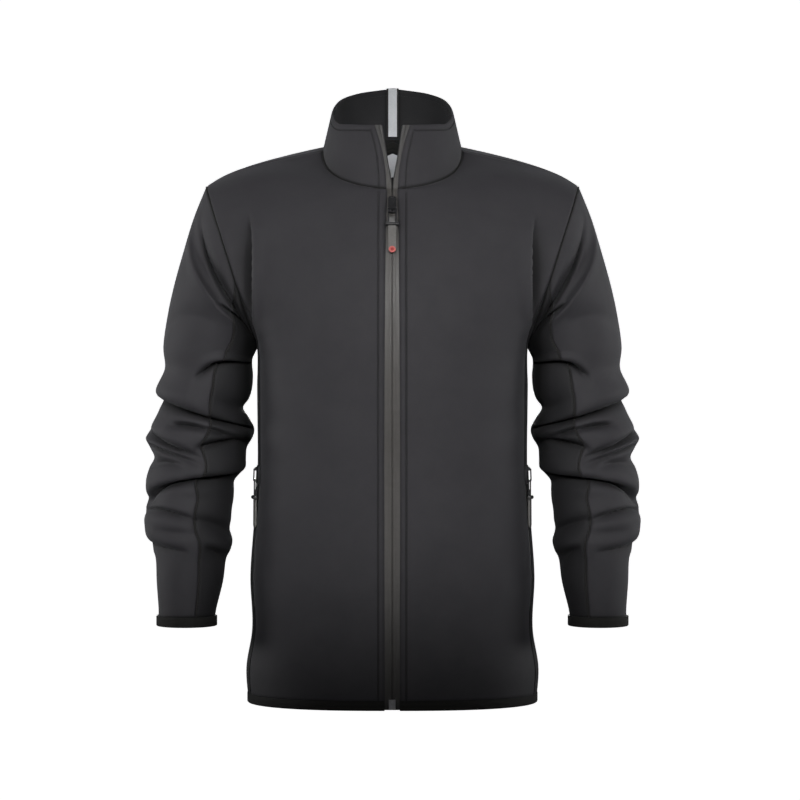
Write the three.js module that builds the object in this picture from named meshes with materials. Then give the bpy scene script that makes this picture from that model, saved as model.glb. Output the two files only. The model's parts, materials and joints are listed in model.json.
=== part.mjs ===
import * as THREE from 'three';

// A softshell jacket, filled out as it is worn, in millimetres. +Z is up, +Y points to its back
// and +X to the wearer's left. The origin is the middle of the neck, level with the shoulder seams.

// Cloth and seams
const WALL = 1.6;
const SEAM_GAP = 0.3;
const FACING_WALL = 1.2;
const BINDING_PROUD = 0.7;
const BINDING_WALL = 3;
const BINDING_HEIGHT = 10;
// How far a mitred wall and a sharp tip may stretch
const MITRE_LIMIT = 0.7;
const TIP_LIMIT = 0.03;

// Heights of the body
const HEM_SEAM = -677;
const ARMPIT = -245;
const NECK_FRONT = -54;
const NECK_BACK = 20;

// Half widths and depths of the body's level sections; at is the height
const BODY = table('at half back',
  [-690, 179, 124], [-645, 182, 126], [-600, 175, 124], [-530, 177, 118], [-470, 173, 110],
  [-400, 168, 105], [-340, 168, 108], [-290, 169, 116], [-245, 167, 122], [-180, 173, 130],
  [-120, 173, 127], [-60, 170, 111], [20, 160, 78]);
const FRONT = table('at depth',
  [-690, 126], [-600, 127], [-500, 127], [-400, 131], [-320, 138], [-245, 141], [-180, 136.5],
  [-120, 121], [-80, 103], [-54, 88]);
// How far the front edge and the zip's teeth stand from the middle; at is the height
const EDGE = table('at front teeth',
  [-690, 9.2, 0.3], [-200, 8.6, 0.3], [-90, 7.2, 0.3], [-62, 6.2, 0.4], [-40, 7.6, 1.8],
  [-18, 9.6, 5.2], [5, 13.5, 9.2], [24, 22, 13]);
const SECTION_SQUARE = 2.4;
const SHOULDER_SQUARE = 1.05;

// Neck seam and top edge of the collar; turn runs from the front round to the back in degrees
const NECK = { half: 87, front: 88, back: 78 };
const COLLAR_TOP = { half: 76, front: 70, back: 74 };
const COLLAR_RIM = table('turn height',
  [0, 24], [40, 27], [65, 31], [90, 46], [115, 64], [145, 77], [180, 85]);
const COLLAR_ROWS = [0, 0.34, 0.68, 1];
const COLLAR_BOW = 14;

// Armhole ring; turn 0 is the shoulder tip, 90 its front, 180 the armpit
const ARMHOLE = { x: 200, y: 3, z: -145, wide: 33, skew: 7, deep: 70, tall: 100 };

// Seams of the side panel, as a share of the way from the middle to the armpit line
const SIDE_FRONT = table('row share', [-11, 0.78], [-6, 0.79], [0, 0.8], [1, 0.81], [2, 0.83],
  [3, 0.865], [4, 0.915], [5, 1]);
const SIDE_BACK = table('row share', [-11, 0.72], [-6, 0.72], [0, 0.73], [1, 0.75], [2, 0.79],
  [3, 0.85], [4, 0.92], [5, 1]);

// Rows and columns of the body
const ROWS_BELOW = 11;
const ROWS_ABOVE = 12;
const SIDE_TOP_ROW = 5;
const FRONT_CORNER = 7;
const BACK_CORNER = 8;
const COLUMNS = [0, 0.16, 0.32, 0.48, 0.63, 0.75, 0.84, 0.92, 1];
const SIDE_COLUMNS = [0, 0.5, 1];

// The upright fold in front of each armhole: its crest and hollow as shares, their depths, and the
// heights between which it comes and goes
const ARM_FOLD = { crest: 0.7, roll: 0.05, lip: 2.5, edge: 0.745, steep: 0.08, seam: 0.84, depth: 15,
  across: 0.6, top: -85, full: -140, low: -235, end: -290 };
// How many rows the bends at the armpit and the shoulder are rounded over, and how far the
// shoulder is filled out
const BEND = { rows: 2.6, from: -5, weights: [1, 2, 3, 2, 1] };
const SHOULDER_ROUND = 6;
// The fall of the shoulder seam from the neck to its tip: a straight share, and the rest near the tip
const SHOULDER_FALL = { straight: 0.68, power: 6 };

// Sleeve sections from the armhole to the cuff seam: the outer and inner ends of each one
const SLEEVE = table('outerX outerZ innerX innerZ middleY deep',
  [233, -45, 167, -245, 3, 70], [249, -85, 169, -248.5, 3, 69], [262, -128, 171, -252, 3, 67],
  [273, -168, 173, -256, 3, 65.5], [281.5, -208, 175, -260.5, 3, 64],
  [286.5, -245, 175.5, -268, 3, 62.5], [284.5, -271, 174.5, -283, 4, 62],
  [291, -288, 176, -299, 4, 63], [295, -299, 180, -311, 5, 64], [289, -309, 187, -322, 5, 61],
  [292, -321, 180, -334, 6, 62], [298, -337, 173, -348, 6, 65], [305, -349, 175, -359, 6, 65],
  [311, -361, 182, -371, 6, 63], [304, -372, 183.5, -382, 5, 61], [298, -384, 184, -397, 4, 60],
  [304, -397, 190, -404, 3, 57], [308, -412, 197.5, -413, 1, 56], [307, -424, 198, -424, -1, 56],
  [303.5, -434, 198.5, -435, -2, 54], [309.5, -447, 200.5, -448, -4, 55],
  [311, -460, 201.5, -461, -5, 55], [308, -474, 203, -473, -7, 54],
  [304, -485, 199.5, -487, -8, 53], [299.5, -499, 202, -499, -9, 50],
  [295, -512, 207.5, -511, -10, 47], [293.5, -540, 211, -538, -12, 44],
  [291, -572, 219, -571, -14, 41], [291.5, -582, 220.5, -582, -14, 40]);
const SLEEVE_STEPS = [...range(0, 7), ...range(7, 20, 0.5), ...range(20, 28)];

// Where the upper sleeve meets the under sleeve, in front and at the back; turn in degrees. The
// front seam wanders with the height of the outer side, and the cloth beside it goes with it.
const SLEEVE_SEAM = { front: 105, back: 225, from: 30 };
const SEAM_TURN = table('at turn', [-582, 114], [-540, 110], [-500, 107], [-450, 104], [-400, 102],
  [-350, 101], [-300, 105], [-270, 102], [-249, 110], [-225, 118], [-180, 123], [-135, 120],
  [-100, 113], [-45, 105]);

// Creases of a sleeve. Each runs from turn a to turn b through the heights start, middle and end
// of the outer side. It is depth deep, above and below are its reach up and down, and its upper
// lip hangs over it by droop.
const CREASES = table('a b start middle end depth above below droop',
  [30, 160, -70, -92, -48, 9, 16, 11, 0], [14, 128, -92, -133, -112, -5, 9, 22, 0],
  [90, 170, -134, -84, -24, 6, 5, 8, 1], [5, 100, -222, -196, -166, 2, 14, 16, 0],
  [76, 174, -282, -240, -234, 8, 5, 12, 4],
  [-14, 186, -304, -316, -339, 10, 5, 14, 8], [50, 104, -341, -339, -345, 5, 6, 6, 2],
  [-10, 100, -350, -358, -378, 6, 5, 7, 3], [-10, 104, -362, -372, -387, 4, 5, 7, 2],
  [12, 86, -399, -387, -395, 3, 6, 7, 1], [2, 190, -440, -402, -388, 9, 6, 13, 6],
  [94, 150, -340, -344, -346, 4, 5, 6, 2], [90, 176, -370, -353, -357, 5, 5, 8, 2],
  [-14, 110, -453, -446, -462, 5, 6, 11, 3], [100, 172, -458, -464, -476, 3, 7, 9, 1],
  [40, 108, -474, -476, -478, 2, 6, 8, 0], [-14, 92, -489, -493, -500, 4, 6, 11, 2],
  [112, 172, -494, -500, -508, 4, 6, 9, 1], [190, 300, -276, -284, -300, 4, 9, 14, 1],
  [205, 352, -326, -336, -330, 6, 7, 14, 3], [196, 330, -360, -372, -380, 6, 6, 13, 3],
  [214, 356, -398, -404, -396, 5, 7, 13, 2], [190, 318, -428, -438, -446, 5, 7, 12, 2],
  [208, 350, -464, -472, -462, 4, 7, 12, 1], [196, 320, -496, -502, -506, 3, 7, 11, 1]);

// Zip in the front opening, and the two pocket zips in the seams in front of the side panels
const TAPE = { under: 5.5, wall: 1 };
const SLIDER = { wide: 10, foot: 8, high: 23, thick: 3, z: -76, seat: -0.7 };
const BRIDGE = { wide: 3.4, high: 19, thick: 4.2, bar: 0.6 };
const PULL = { head: 9, window: 5, neck: 17.2, bar: 16, barHigh: 2.4, grip: 10.4, long: 56, thick: 2.6,
  lie: 2.7 };
const HEAD_THICK = 1.2;
const HINGE = { out: 1.8, down: 7 };
const DOT = { wide: 8.4, thick: 0.8, up: 5 };
const BOX_END = { wide: 8, high: 12, thick: 3.2, z: -679.5, seat: -1.3 };
const POCKET = { slider: -404, clear: 0.4, lie: 1.9 };

// Inside the neck, at the middle of the back; from and to are drops below the neck seam
const REFLECTOR = { wide: 13, wall: 0.5, low: 0.06, outside: 0.8 };
const NECK_TAPE = { wide: 52, from: 2.5, to: 10, wall: 1 };
const LOOP = { wide: 46, from: 11, to: 14.6, wall: 1.4 };
const LABEL = { wide: 34, from: 17, to: 46, wall: 0.5 };
const INSIDE_CLEAR = 0.45;

const CLOTH = 0x2f2f32;
const UNDER_CLOTH = 0x242427;
const LINING = 0x17171a;
const BINDING = 0x101012;
const TAPE_GREY = 0x4a4745;
const METAL = 0x55565a;
const RUBBER = 0x5d5e60;
const STEEL = 0x9a9a9c;
const RED = 0x9c2a24;
const REFLECTIVE = 0xa8a9ab;
const LABEL_GREY = 0xb4b6ba;

function table(columns, ...rows) {
  return Object.fromEntries(columns.split(' ').map((name, i) => [name, rows.map((row) => row[i])]));
}

function range(from, to, step = 1) {
  return Array.from({ length: Math.round((to - from) / step) }, (_, i) => from + i * step);
}

function radians(degrees) {
  return (degrees * Math.PI) / 180;
}

function mix(a, b, share) {
  return a + (b - a) * share;
}

function clamp(value, low = 0, high = 1) {
  return Math.min(high, Math.max(low, value));
}

function ease(value) {
  const s = clamp(value);
  return s * s * (3 - 2 * s);
}

// A smooth curve through the rows of a table, read at one place
function along(rows, column, place, by = 'at') {
  const x = rows[by] ?? rows[column].map((_, i) => i);
  const y = rows[column];
  const last = x.length - 1;
  const slope = (i) => (y[i + 1] - y[i]) / (x[i + 1] - x[i]);
  const tangent = (i) => {
    if (i === 0) return slope(0);
    if (i === last) return slope(last - 1);
    const before = x[i] - x[i - 1];
    const after = x[i + 1] - x[i];
    return (slope(i - 1) * after + slope(i) * before) / (before + after);
  };
  const at = clamp(place, x[0], x[last]);
  let i = 0;
  while (i < last - 1 && at > x[i + 1]) i += 1;
  const h = x[i + 1] - x[i];
  const s = (at - x[i]) / h;
  return (2 * s ** 3 - 3 * s ** 2 + 1) * y[i] + (s ** 3 - 2 * s ** 2 + s) * h * tangent(i)
    + (3 * s ** 2 - 2 * s ** 3) * y[i + 1] + (s ** 3 - s ** 2) * h * tangent(i + 1);
}

// A quarter turn of a rounded square: 1 is straight, 2 a circle
function roundedQuarter(share, square) {
  const turn = share * Math.PI / 2;
  const reach = (Math.sin(turn) ** square + Math.cos(turn) ** square) ** (-1 / square);
  return [reach * Math.sin(turn), reach * Math.cos(turn)];
}

function armhole(turn) {
  const { x, y, z, wide, skew, deep, tall } = ARMHOLE;
  const c = Math.cos(radians(turn));
  const s = Math.sin(radians(turn));
  return new THREE.Vector3(x + wide * c, y + skew * c - deep * s, z + tall * c);
}

// The neck seam, from its front over the shoulder (turn 90) to its back
function neckSeam(turn) {
  const c = Math.cos(radians(turn));
  const reach = Math.abs(c);
  const z = c > 0 ? NECK_FRONT * reach ** 0.8 : NECK_BACK * reach ** 1.2;
  const y = c > 0 ? -NECK.front * reach : NECK.back * reach;
  return new THREE.Vector3(NECK.half * Math.sin(radians(turn)) ** 0.95, y, z);
}

function collarRim(turn) {
  const c = Math.cos(radians(turn));
  const y = c > 0 ? -COLLAR_TOP.front * c : -COLLAR_TOP.back * c;
  const x = COLLAR_TOP.half * Math.sin(radians(turn)) ** 0.9;
  return new THREE.Vector3(x, y, along(COLLAR_RIM, 'height', turn, 'turn'));
}

const NECK_START = (Math.asin(6.2 / NECK.half) * 180) / Math.PI;
const RIM_START = (Math.asin((22 / COLLAR_TOP.half) ** (1 / 0.9)) * 180) / Math.PI;

// A height row of the body: its inner end in the middle or on the neck seam, its outer end on the
// armpit line or the armhole. Row 0 is level with the armpit and ROWS_ABOVE is the shoulder seam.
function rowEnds(row, atBack) {
  const corner = atBack ? BACK_CORNER : FRONT_CORNER;
  if (row <= 0) {
    const z = mix(ARMPIT, HEM_SEAM, -row / ROWS_BELOW);
    return levelEnds(z, atBack);
  }
  const outer = armhole(180 + (atBack ? 1 : -1) * 180 * row / ROWS_ABOVE);
  if (row >= corner) {
    const share = (row - corner) / (ROWS_ABOVE - corner);
    return { inner: neckSeam(atBack ? mix(180, 90, share) : mix(NECK_START, 90, share)), outer };
  }
  const top = atBack ? NECK_BACK : NECK_FRONT;
  return { inner: levelEnds(mix(ARMPIT, top, row / corner), atBack).inner, outer };
}

function levelEnds(z, atBack) {
  const y = atBack ? along(BODY, 'back', z) : -along(FRONT, 'depth', z);
  const x = atBack ? 0 : along(EDGE, 'front', z);
  const armpitY = ARMHOLE.y - ARMHOLE.skew;
  return { inner: new THREE.Vector3(x, y, z), outer: new THREE.Vector3(along(BODY, 'half', z), armpitY, z) };
}

// A point of the body; share runs along the row from its inner to its outer end
function bodyPoint(row, share, atBack) {
  const fade = clamp((ROWS_ABOVE - row) / BEND.rows) * ease((row - BEND.from) / 3);
  const reach = BEND.rows * Math.sin(Math.PI * share) ** 0.5 * fade;
  const middle = (BEND.weights.length - 1) / 2;
  const total = BEND.weights.reduce((sum, weight) => sum + weight);
  const point = BEND.weights.reduce((sum, weight, i) => (
    sum.addScaledVector(sharpPoint(row + (reach * (i - middle)) / middle, share, atBack), weight / total)),
  new THREE.Vector3());
  return point.add(armFold(point.z, share, atBack));
}

// A point of the body before its bend is rounded
function sharpPoint(row, share, atBack) {
  const { inner, outer } = rowEnds(row, atBack);
  const up = clamp(row / ROWS_ABOVE);
  const square = mix(SECTION_SQUARE, SHOULDER_SQUARE, up ** 1.8);
  const [across, forward] = roundedQuarter(share, square);
  const { straight, power } = SHOULDER_FALL;
  const fall = mix(across ** 1.5, straight * across + (1 - straight) * across ** power, up ** 4);
  const point = new THREE.Vector3(
    mix(inner.x, outer.x, across), mix(outer.y, inner.y, forward), mix(inner.z, outer.z, fall));
  const corner = atBack ? BACK_CORNER : FRONT_CORNER;
  const round = clamp((row - corner + 1) / (ROWS_ABOVE - corner + 1));
  point.z += SHOULDER_ROUND * Math.sin(Math.PI * round) * Math.sin(Math.PI * share);
  return point;
}

// The crest of the upright fold in front of the armhole and the hollow beside it, and softer ones
// behind the armhole
function armFold(z, share, atBack) {
  const { crest, roll, lip, edge, steep, seam, depth, across, top, full, low, end } = ARM_FOLD;
  const window = ease((top - z) / (top - full)) * ease((z - end) / (low - end));
  const rise = lip * window * Math.exp(-(((share - crest) / roll) ** 2));
  const hollow = depth * window * ease((share - edge) / steep) * (1 - ease((share - seam) / (1 - seam)));
  return atBack ? new THREE.Vector3(-0.4 * hollow, 0.5 * (rise - across * hollow), 0)
    : new THREE.Vector3(-across * hollow, 0.8 * hollow - rise, 0);
}

function smoothPath(crease, share) {
  const { start, middle, end } = crease;
  return start + (4 * middle - 3 * start - end) * share + 2 * (start + end - 2 * middle) * share ** 2;
}

const creaseList = CREASES.a.map((_, i) => Object.fromEntries(
  Object.keys(CREASES).map((name) => [name, CREASES[name][i]])));

// How far the creases push a sleeve's cloth in, and how far a lip hangs down, at one place
function creasing(turn, height) {
  let push = 0;
  let hang = 0;
  for (const crease of creaseList) {
    const middle = (crease.a + crease.b) / 2;
    const half = (crease.b - crease.a) / 2;
    const away = ((turn - middle + 540) % 360) - 180;
    if (Math.abs(away) >= half) continue;
    const fade = Math.cos((Math.PI / 2) * (away / half)) ** 0.8;
    const d = height - smoothPath(crease, (away / half + 1) / 2);
    const reach = d > 0 ? crease.above : crease.below;
    push -= crease.depth * fade / (1 + (d / reach) ** 2) ** 1.5;
    push += 0.35 * crease.depth * fade * Math.exp(-(((d - 2 * crease.above) / (1.3 * crease.above)) ** 2));
    hang += crease.droop * fade * Math.exp(-(((d - 1.4 * crease.above) / (1.3 * crease.above)) ** 2));
  }
  return { push, hang };
}

// A point of a sleeve; step counts its sections, turn runs round it from its outer side
function sleevePoint(step, turn) {
  const at = (column) => along(SLEEVE, column, step, 'step');
  const c = Math.cos(radians(turn));
  const s = Math.sin(radians(turn));
  const outer = new THREE.Vector3(at('outerX'), 0, at('outerZ'));
  const inner = new THREE.Vector3(at('innerX'), 0, at('innerZ'));
  const across = outer.clone().sub(inner).multiplyScalar(0.5);
  const skew = ARMHOLE.skew * (1 - ease(step / 6));
  const point = outer.clone().add(inner).multiplyScalar(0.5).addScaledVector(across, c);
  point.y = at('middleY') + skew * c - at('deep') * s;
  const away = across.clone().normalize().multiplyScalar(c / across.length());
  away.y = -s / at('deep');
  away.normalize();
  const { push, hang } = creasing(turn, outer.z);
  const ends = ease(step / 1.5) * ease((28 - step) / 2);
  const inside = 1 - 0.75 * ease((-c - 0.55) / 0.45);
  point.addScaledVector(away, push * ends * (push > 0 ? inside : 1));
  point.z -= hang * ends;
  return point;
}

// A turn near the front seam of a sleeve, moved as far as the seam wanders at that height
function wandering(turn, step) {
  const { front, back, from } = SLEEVE_SEAM;
  const shift = along(SEAM_TURN, 'turn', along(SLEEVE, 'outerZ', step, 'step')) - front;
  return turn + shift * (turn < front ? ease((turn - from) / (front - from)) : ease((back - turn) / (back - front)));
}

// A skin of cloth panels that share the points of their seams, so that their walls never cross
class Skin {
  constructor() {
    this.points = [];
    this.byPlace = new Map();
    this.panels = new Map();
  }

  index(point) {
    const key = point.toArray().map((value) => Math.round(value * 1000) + 0).join();
    if (!this.byPlace.has(key)) {
      this.byPlace.set(key, this.points.length);
      this.points.push(point.clone());
    }
    return this.byPlace.get(key);
  }

  // Adds the cells between rows of points; flip turns their faces over. The part is what a panel
  // belongs to: where two parts meet, their walls are mitred.
  add(name, part, rows, flip = false) {
    if (!this.panels.has(name)) this.panels.set(name, { part, faces: [] });
    const { faces } = this.panels.get(name);
    const grid = rows.map((row) => row.map((point) => this.index(point)));
    for (let j = 0; j + 1 < grid.length; j += 1) {
      for (let i = 0; i + 1 < grid[j].length; i += 1) {
        const [a, b, c, d] = [grid[j][i], grid[j][i + 1], grid[j + 1][i + 1], grid[j + 1][i]];
        for (const face of [[a, b, c], [a, c, d]]) {
          if (new Set(face).size === 3) faces.push(flip ? face.reverse() : face);
        }
      }
    }
  }

  // Adds a panel on the wearer's left and its mirror image on the right
  addPair(name, part, rows, flip = false) {
    this.add(`${name}_left`, part, rows, flip);
    this.add(`${name}_right`, part, rows.map((row) => row.map(mirrored)), !flip);
  }

  addWhole(name, part, rows, flip = false) {
    this.add(name, part, rows, flip);
    this.add(name, part, rows.map((row) => row.map(mirrored)), !flip);
  }

  // The way out of the cloth at each point, lengthened where the parts meet at an angle
  measureNormals() {
    const byPart = new Map();
    for (const { part, faces } of this.panels.values()) {
      if (!byPart.has(part)) byPart.set(part, new Map());
      const sums = byPart.get(part);
      for (const face of faces) {
        const corners = face.map((i) => this.points[i]);
        const normal = faceNormal(corners).normalize();
        face.forEach((i, k) => {
          const one = corners[(k + 1) % 3].clone().sub(corners[k]);
          const other = corners[(k + 2) % 3].clone().sub(corners[k]);
          sums.set(i, (sums.get(i) ?? new THREE.Vector3()).addScaledVector(normal, one.angleTo(other)));
        });
      }
    }
    const own = this.points.map(() => []);
    for (const sums of byPart.values()) {
      for (const [i, sum] of sums) own[i].push(sum.normalize());
    }
    this.normals = own.map((normals) => {
      const mean = normals.reduce((sum, normal) => sum.add(normal), new THREE.Vector3()).normalize();
      return mean.divideScalar(Math.max(MITRE_LIMIT, mean.dot(normals[0])));
    });
  }

  // A closed wall from a panel: top is how far its outer face stands proud, wall its thickness
  solid(name, top = 0, wall = WALL) {
    const { faces } = this.panels.get(name);
    const edges = new Map();
    for (const face of faces) {
      face.forEach((a, k) => edges.set(`${a},${face[(k + 1) % 3]}`, [a, face[(k + 1) % 3]]));
    }
    const rim = [...edges.values()].filter(([a, b]) => !edges.has(`${b},${a}`));
    const drawnIn = this.drawnIn(rim);
    const used = [...new Set(faces.flat())];
    const place = new Map(used.map((i, k) => [i, k]));
    const outer = used.map((i) => this.points[i].clone().add(drawnIn.get(i) ?? new THREE.Vector3()));
    const vertices = [
      ...outer.map((point, k) => point.clone().addScaledVector(this.normals[used[k]], top)),
      ...outer.map((point, k) => point.clone().addScaledVector(this.normals[used[k]], top - wall)),
    ];
    const under = used.length;
    const triangles = faces.flatMap((face) => {
      const [a, b, c] = face.map((i) => place.get(i));
      return [a, b, c, c + under, b + under, a + under];
    });
    for (const [a, b] of rim) {
      const [p, q] = [place.get(a), place.get(b)];
      if (a < b) triangles.push(p, p + under, q, q, p + under, q + under);
      else triangles.push(p, p + under, q + under, p, q + under, q);
    }
    return body(vertices, triangles);
  }

  // Half a seam's gap, from the rim into the panel
  drawnIn(rim) {
    const inward = new Map();
    for (const [a, b] of rim) {
      const tangent = this.points[b].clone().sub(this.points[a]);
      for (const i of [a, b]) {
        const way = new THREE.Vector3().crossVectors(this.normals[i], tangent).normalize();
        inward.set(i, [...(inward.get(i) ?? []), way]);
      }
    }
    const moves = new Map();
    for (const [i, ways] of inward) {
      const sum = ways.reduce((total, way) => total.clone().add(way), new THREE.Vector3());
      const square = Math.max(TIP_LIMIT, sum.lengthSq() / ways.length);
      moves.set(i, sum.multiplyScalar(SEAM_GAP / 2 / square));
    }
    return moves;
  }
}

function mirrored(point) {
  return new THREE.Vector3(-point.x, point.y, point.z);
}

function faceNormal([a, b, c]) {
  return b.clone().sub(a).cross(c.clone().sub(a));
}

function body(vertices, triangles) {
  const geometry = new THREE.BufferGeometry().setFromPoints(vertices);
  geometry.setIndex(triangles);
  return geometry;
}

function mirroredBody(geometry) {
  const turned = geometry.scale(-1, 1, 1);
  turned.index.array.reverse();
  return turned;
}

// A closed strip through sections of four points each
function strip(sections) {
  const vertices = sections.flat();
  const triangles = [];
  for (let j = 0; j + 1 < sections.length; j += 1) {
    for (let i = 0; i < 4; i += 1) {
      const a = 4 * j + i;
      const b = 4 * j + ((i + 1) % 4);
      triangles.push(a, b, b + 4, a, b + 4, a + 4);
    }
  }
  const last = 4 * (sections.length - 1);
  triangles.push(0, 2, 1, 0, 3, 2, last, last + 1, last + 2, last, last + 2, last + 3);
  return body(vertices, triangles);
}

const group = new THREE.Group();

function add(name, geometry, color, roughness = 0.85, metalness = 0, parent = group) {
  const mesh = new THREE.Mesh(geometry, new THREE.MeshStandardMaterial({ color, roughness, metalness }));
  mesh.name = name;
  parent.add(mesh);
  return mesh;
}

// Rows and columns of each panel's points

function bodyRows(fromRow, toRow, columns, atBack, shareOf) {
  return range(fromRow, toRow + 1).map((row) => columns.map((column) => (
    bodyPoint(row, shareOf(row, column), atBack))));
}

function frontSeam(row) {
  return along(SIDE_FRONT, 'share', row, 'row');
}

function backSeam(row) {
  return along(SIDE_BACK, 'share', row, 'row');
}

function addBody(skin) {
  const frontShare = (row, column) => frontSeam(row) * column;
  const backShare = (row, column) => backSeam(row) * column;
  skin.addPair('front', 'body', bodyRows(-ROWS_BELOW, ROWS_ABOVE, COLUMNS, false, frontShare));
  skin.addWhole('back', 'body', bodyRows(-ROWS_BELOW, ROWS_ABOVE, COLUMNS, true, backShare), true);
  const sideFront = (row, column) => mix(frontSeam(row), 1, column);
  const sideBack = (row, column) => mix(backSeam(row), 1, column);
  skin.addPair('side', 'body', bodyRows(-ROWS_BELOW, SIDE_TOP_ROW, SIDE_COLUMNS, false, sideFront));
  skin.addPair('side', 'body', bodyRows(-ROWS_BELOW, SIDE_TOP_ROW, SIDE_COLUMNS, true, sideBack), true);
}

function addSleeves(skin) {
  const turnStep = 180 / ROWS_ABOVE;
  const panel = (name, from, to) => {
    const rows = [...SLEEVE_STEPS, 28].map((step) => range(from, to + turnStep, turnStep).map((turn) => (
      step === 0 ? armhole(turn) : sleevePoint(step, wandering(turn, step)))));
    skin.addPair(name, 'sleeve', rows);
  };
  panel('sleeve_upper', SLEEVE_SEAM.back - 360, SLEEVE_SEAM.front);
  panel('sleeve_under', SLEEVE_SEAM.front, SLEEVE_SEAM.back);
}

function neckTurns() {
  const front = range(0, ROWS_ABOVE - FRONT_CORNER + 1).map((k) => (
    mix(NECK_START, 90, k / (ROWS_ABOVE - FRONT_CORNER))));
  const back = range(1, ROWS_ABOVE - BACK_CORNER + 1).map((k) => (
    mix(90, 180, k / (ROWS_ABOVE - BACK_CORNER))));
  return [...front, ...back];
}

function collarPoint(turn, rise) {
  const rimTurn = mix(RIM_START, 180, (turn - NECK_START) / (180 - NECK_START));
  const low = neckSeam(turn);
  if (turn === 180) low.x = 0;
  const top = collarRim(rimTurn);
  if (turn === 180) top.x = 0;
  const bow = COLLAR_BOW * rise * (1 - rise) * clamp(1 - (turn - NECK_START) / 30);
  const point = low.lerp(top, rise);
  point.x -= bow;
  return point;
}

function collarRows(turns) {
  return COLLAR_ROWS.map((rise) => turns.map((turn) => collarPoint(turn, rise)));
}

function levelRows(heights) {
  return heights.map((z) => {
    const quarter = (atBack, shares) => shares.map((share) => {
      const { inner, outer } = levelEnds(z, atBack);
      const [across, forward] = roundedQuarter(share, SECTION_SQUARE);
      return new THREE.Vector3(mix(inner.x, outer.x, across), mix(outer.y, inner.y, forward), z);
    });
    const front = along(SIDE_FRONT, 'share', -ROWS_BELOW, 'row');
    const back = along(SIDE_BACK, 'share', -ROWS_BELOW, 'row');
    const frontShares = [...COLUMNS.map((c) => c * front), mix(front, 1, 0.5), 1];
    const backShares = [mix(back, 1, 0.5), ...COLUMNS.map((c) => c * back).reverse()];
    return [...quarter(false, frontShares), ...quarter(true, backShares)];
  });
}

// A flat outline in x and z, made solid outward (towards -y) from the cloth
function plate(points, thick, hole) {
  const shape = new THREE.Shape(points.map(([x, z]) => new THREE.Vector2(x, z)));
  if (hole) shape.holes.push(new THREE.Path(hole.map(([x, z]) => new THREE.Vector2(x, z))));
  const geometry = new THREE.ExtrudeGeometry(shape, { depth: thick, bevelEnabled: false });
  return geometry.rotateX(Math.PI / 2);
}

function rectangle(wide, top, low) {
  return [[-wide / 2, low], [wide / 2, low], [wide / 2, top], [-wide / 2, top]];
}

// A frame on the cloth: x runs along it, z up it and -y out of it
function frameAt(origin, across, up) {
  const y = new THREE.Vector3().crossVectors(up, across).normalize();
  const x = new THREE.Vector3().crossVectors(y, up).normalize();
  const frame = new THREE.Group();
  frame.matrix.makeBasis(x, y, up.clone().normalize()).setPosition(origin);
  frame.matrixAutoUpdate = false;
  group.add(frame);
  return frame;
}

// A slider on the cloth with the bridge that its pull hangs from, and the pull lying on the cloth.
// place gives the cloth's point and way out at a height; seat is how far out the slider's back
// is, and lie how far out the pull's lower end lies.
function addSliderAndPull(name, place, across, height, seat, lie) {
  const { wide, foot, high, thick } = SLIDER;
  const onCloth = (z, out) => {
    const { point, out: way } = place(z);
    return point.clone().addScaledVector(way, out);
  };
  const up = onCloth(height + high / 2, 0).sub(onCloth(height - high / 2, 0));
  const slider = frameAt(onCloth(height, seat), across, up);
  const shield = [[-foot / 2, -high / 2], [foot / 2, -high / 2], [wide / 2, -high / 6],
    [wide / 2, high / 2 - 2], [wide / 2 - 2, high / 2], [2 - wide / 2, high / 2],
    [-wide / 2, high / 2 - 2], [-wide / 2, -high / 6]];
  add(`${name}_slider`, plate(shield, thick), METAL, 0.35, 0.9, slider);

  const bridge = frameAt(onCloth(height, seat + thick + SEAM_GAP), across, up);
  const arch = archShape();
  const geometry = new THREE.ExtrudeGeometry(arch, { depth: BRIDGE.wide, bevelEnabled: false });
  geometry.translate(0, 0, -BRIDGE.wide / 2);
  geometry.applyMatrix4(new THREE.Matrix4().makeBasis(
    new THREE.Vector3(0, -1, 0), new THREE.Vector3(0, 0, 1), new THREE.Vector3(-1, 0, 0)));
  add(`${name}_bridge`, geometry, METAL, 0.35, 0.9, bridge);

  const hinge = onCloth(height, seat + thick + SEAM_GAP + HINGE.out)
    .addScaledVector(up.clone().normalize(), -HINGE.down);
  const end = onCloth(hinge.z - PULL.long, lie);
  const pull = frameAt(hinge, across, hinge.clone().sub(end));
  const bar = HEAD_THICK / 2 + 0.2;
  const head = plate(rectangle(PULL.head, bar, -PULL.neck), HEAD_THICK,
    rectangle(PULL.window, -bar, 2 - PULL.neck));
  add(`${name}_pull_head`, head.translate(0, HEAD_THICK / 2, 0), METAL, 0.35, 0.9, pull);
  add(`${name}_pull_grip`, plate(gripOutline(), PULL.thick).translate(0, PULL.thick / 2, 0),
    RUBBER, 0.6, 0, pull);
  return { hinge, pull };
}

function archShape() {
  const { high, thick, bar } = BRIDGE;
  const half = high / 2;
  const corner = 1.6;
  const arch = new THREE.Shape([[0, -half], [thick - corner, -half], [thick, corner - half],
    [thick, half - 2 * corner], [thick - 2 * corner, half], [0, half]].map(([x, y]) => new THREE.Vector2(x, y)));
  const hole = [[bar, -half + 1], [thick - 1, -half + 1], [thick - 1, half - 5], [bar, half - 5]];
  arch.holes.push(new THREE.Path(hole.map(([x, y]) => new THREE.Vector2(x, y))));
  return arch;
}

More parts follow.
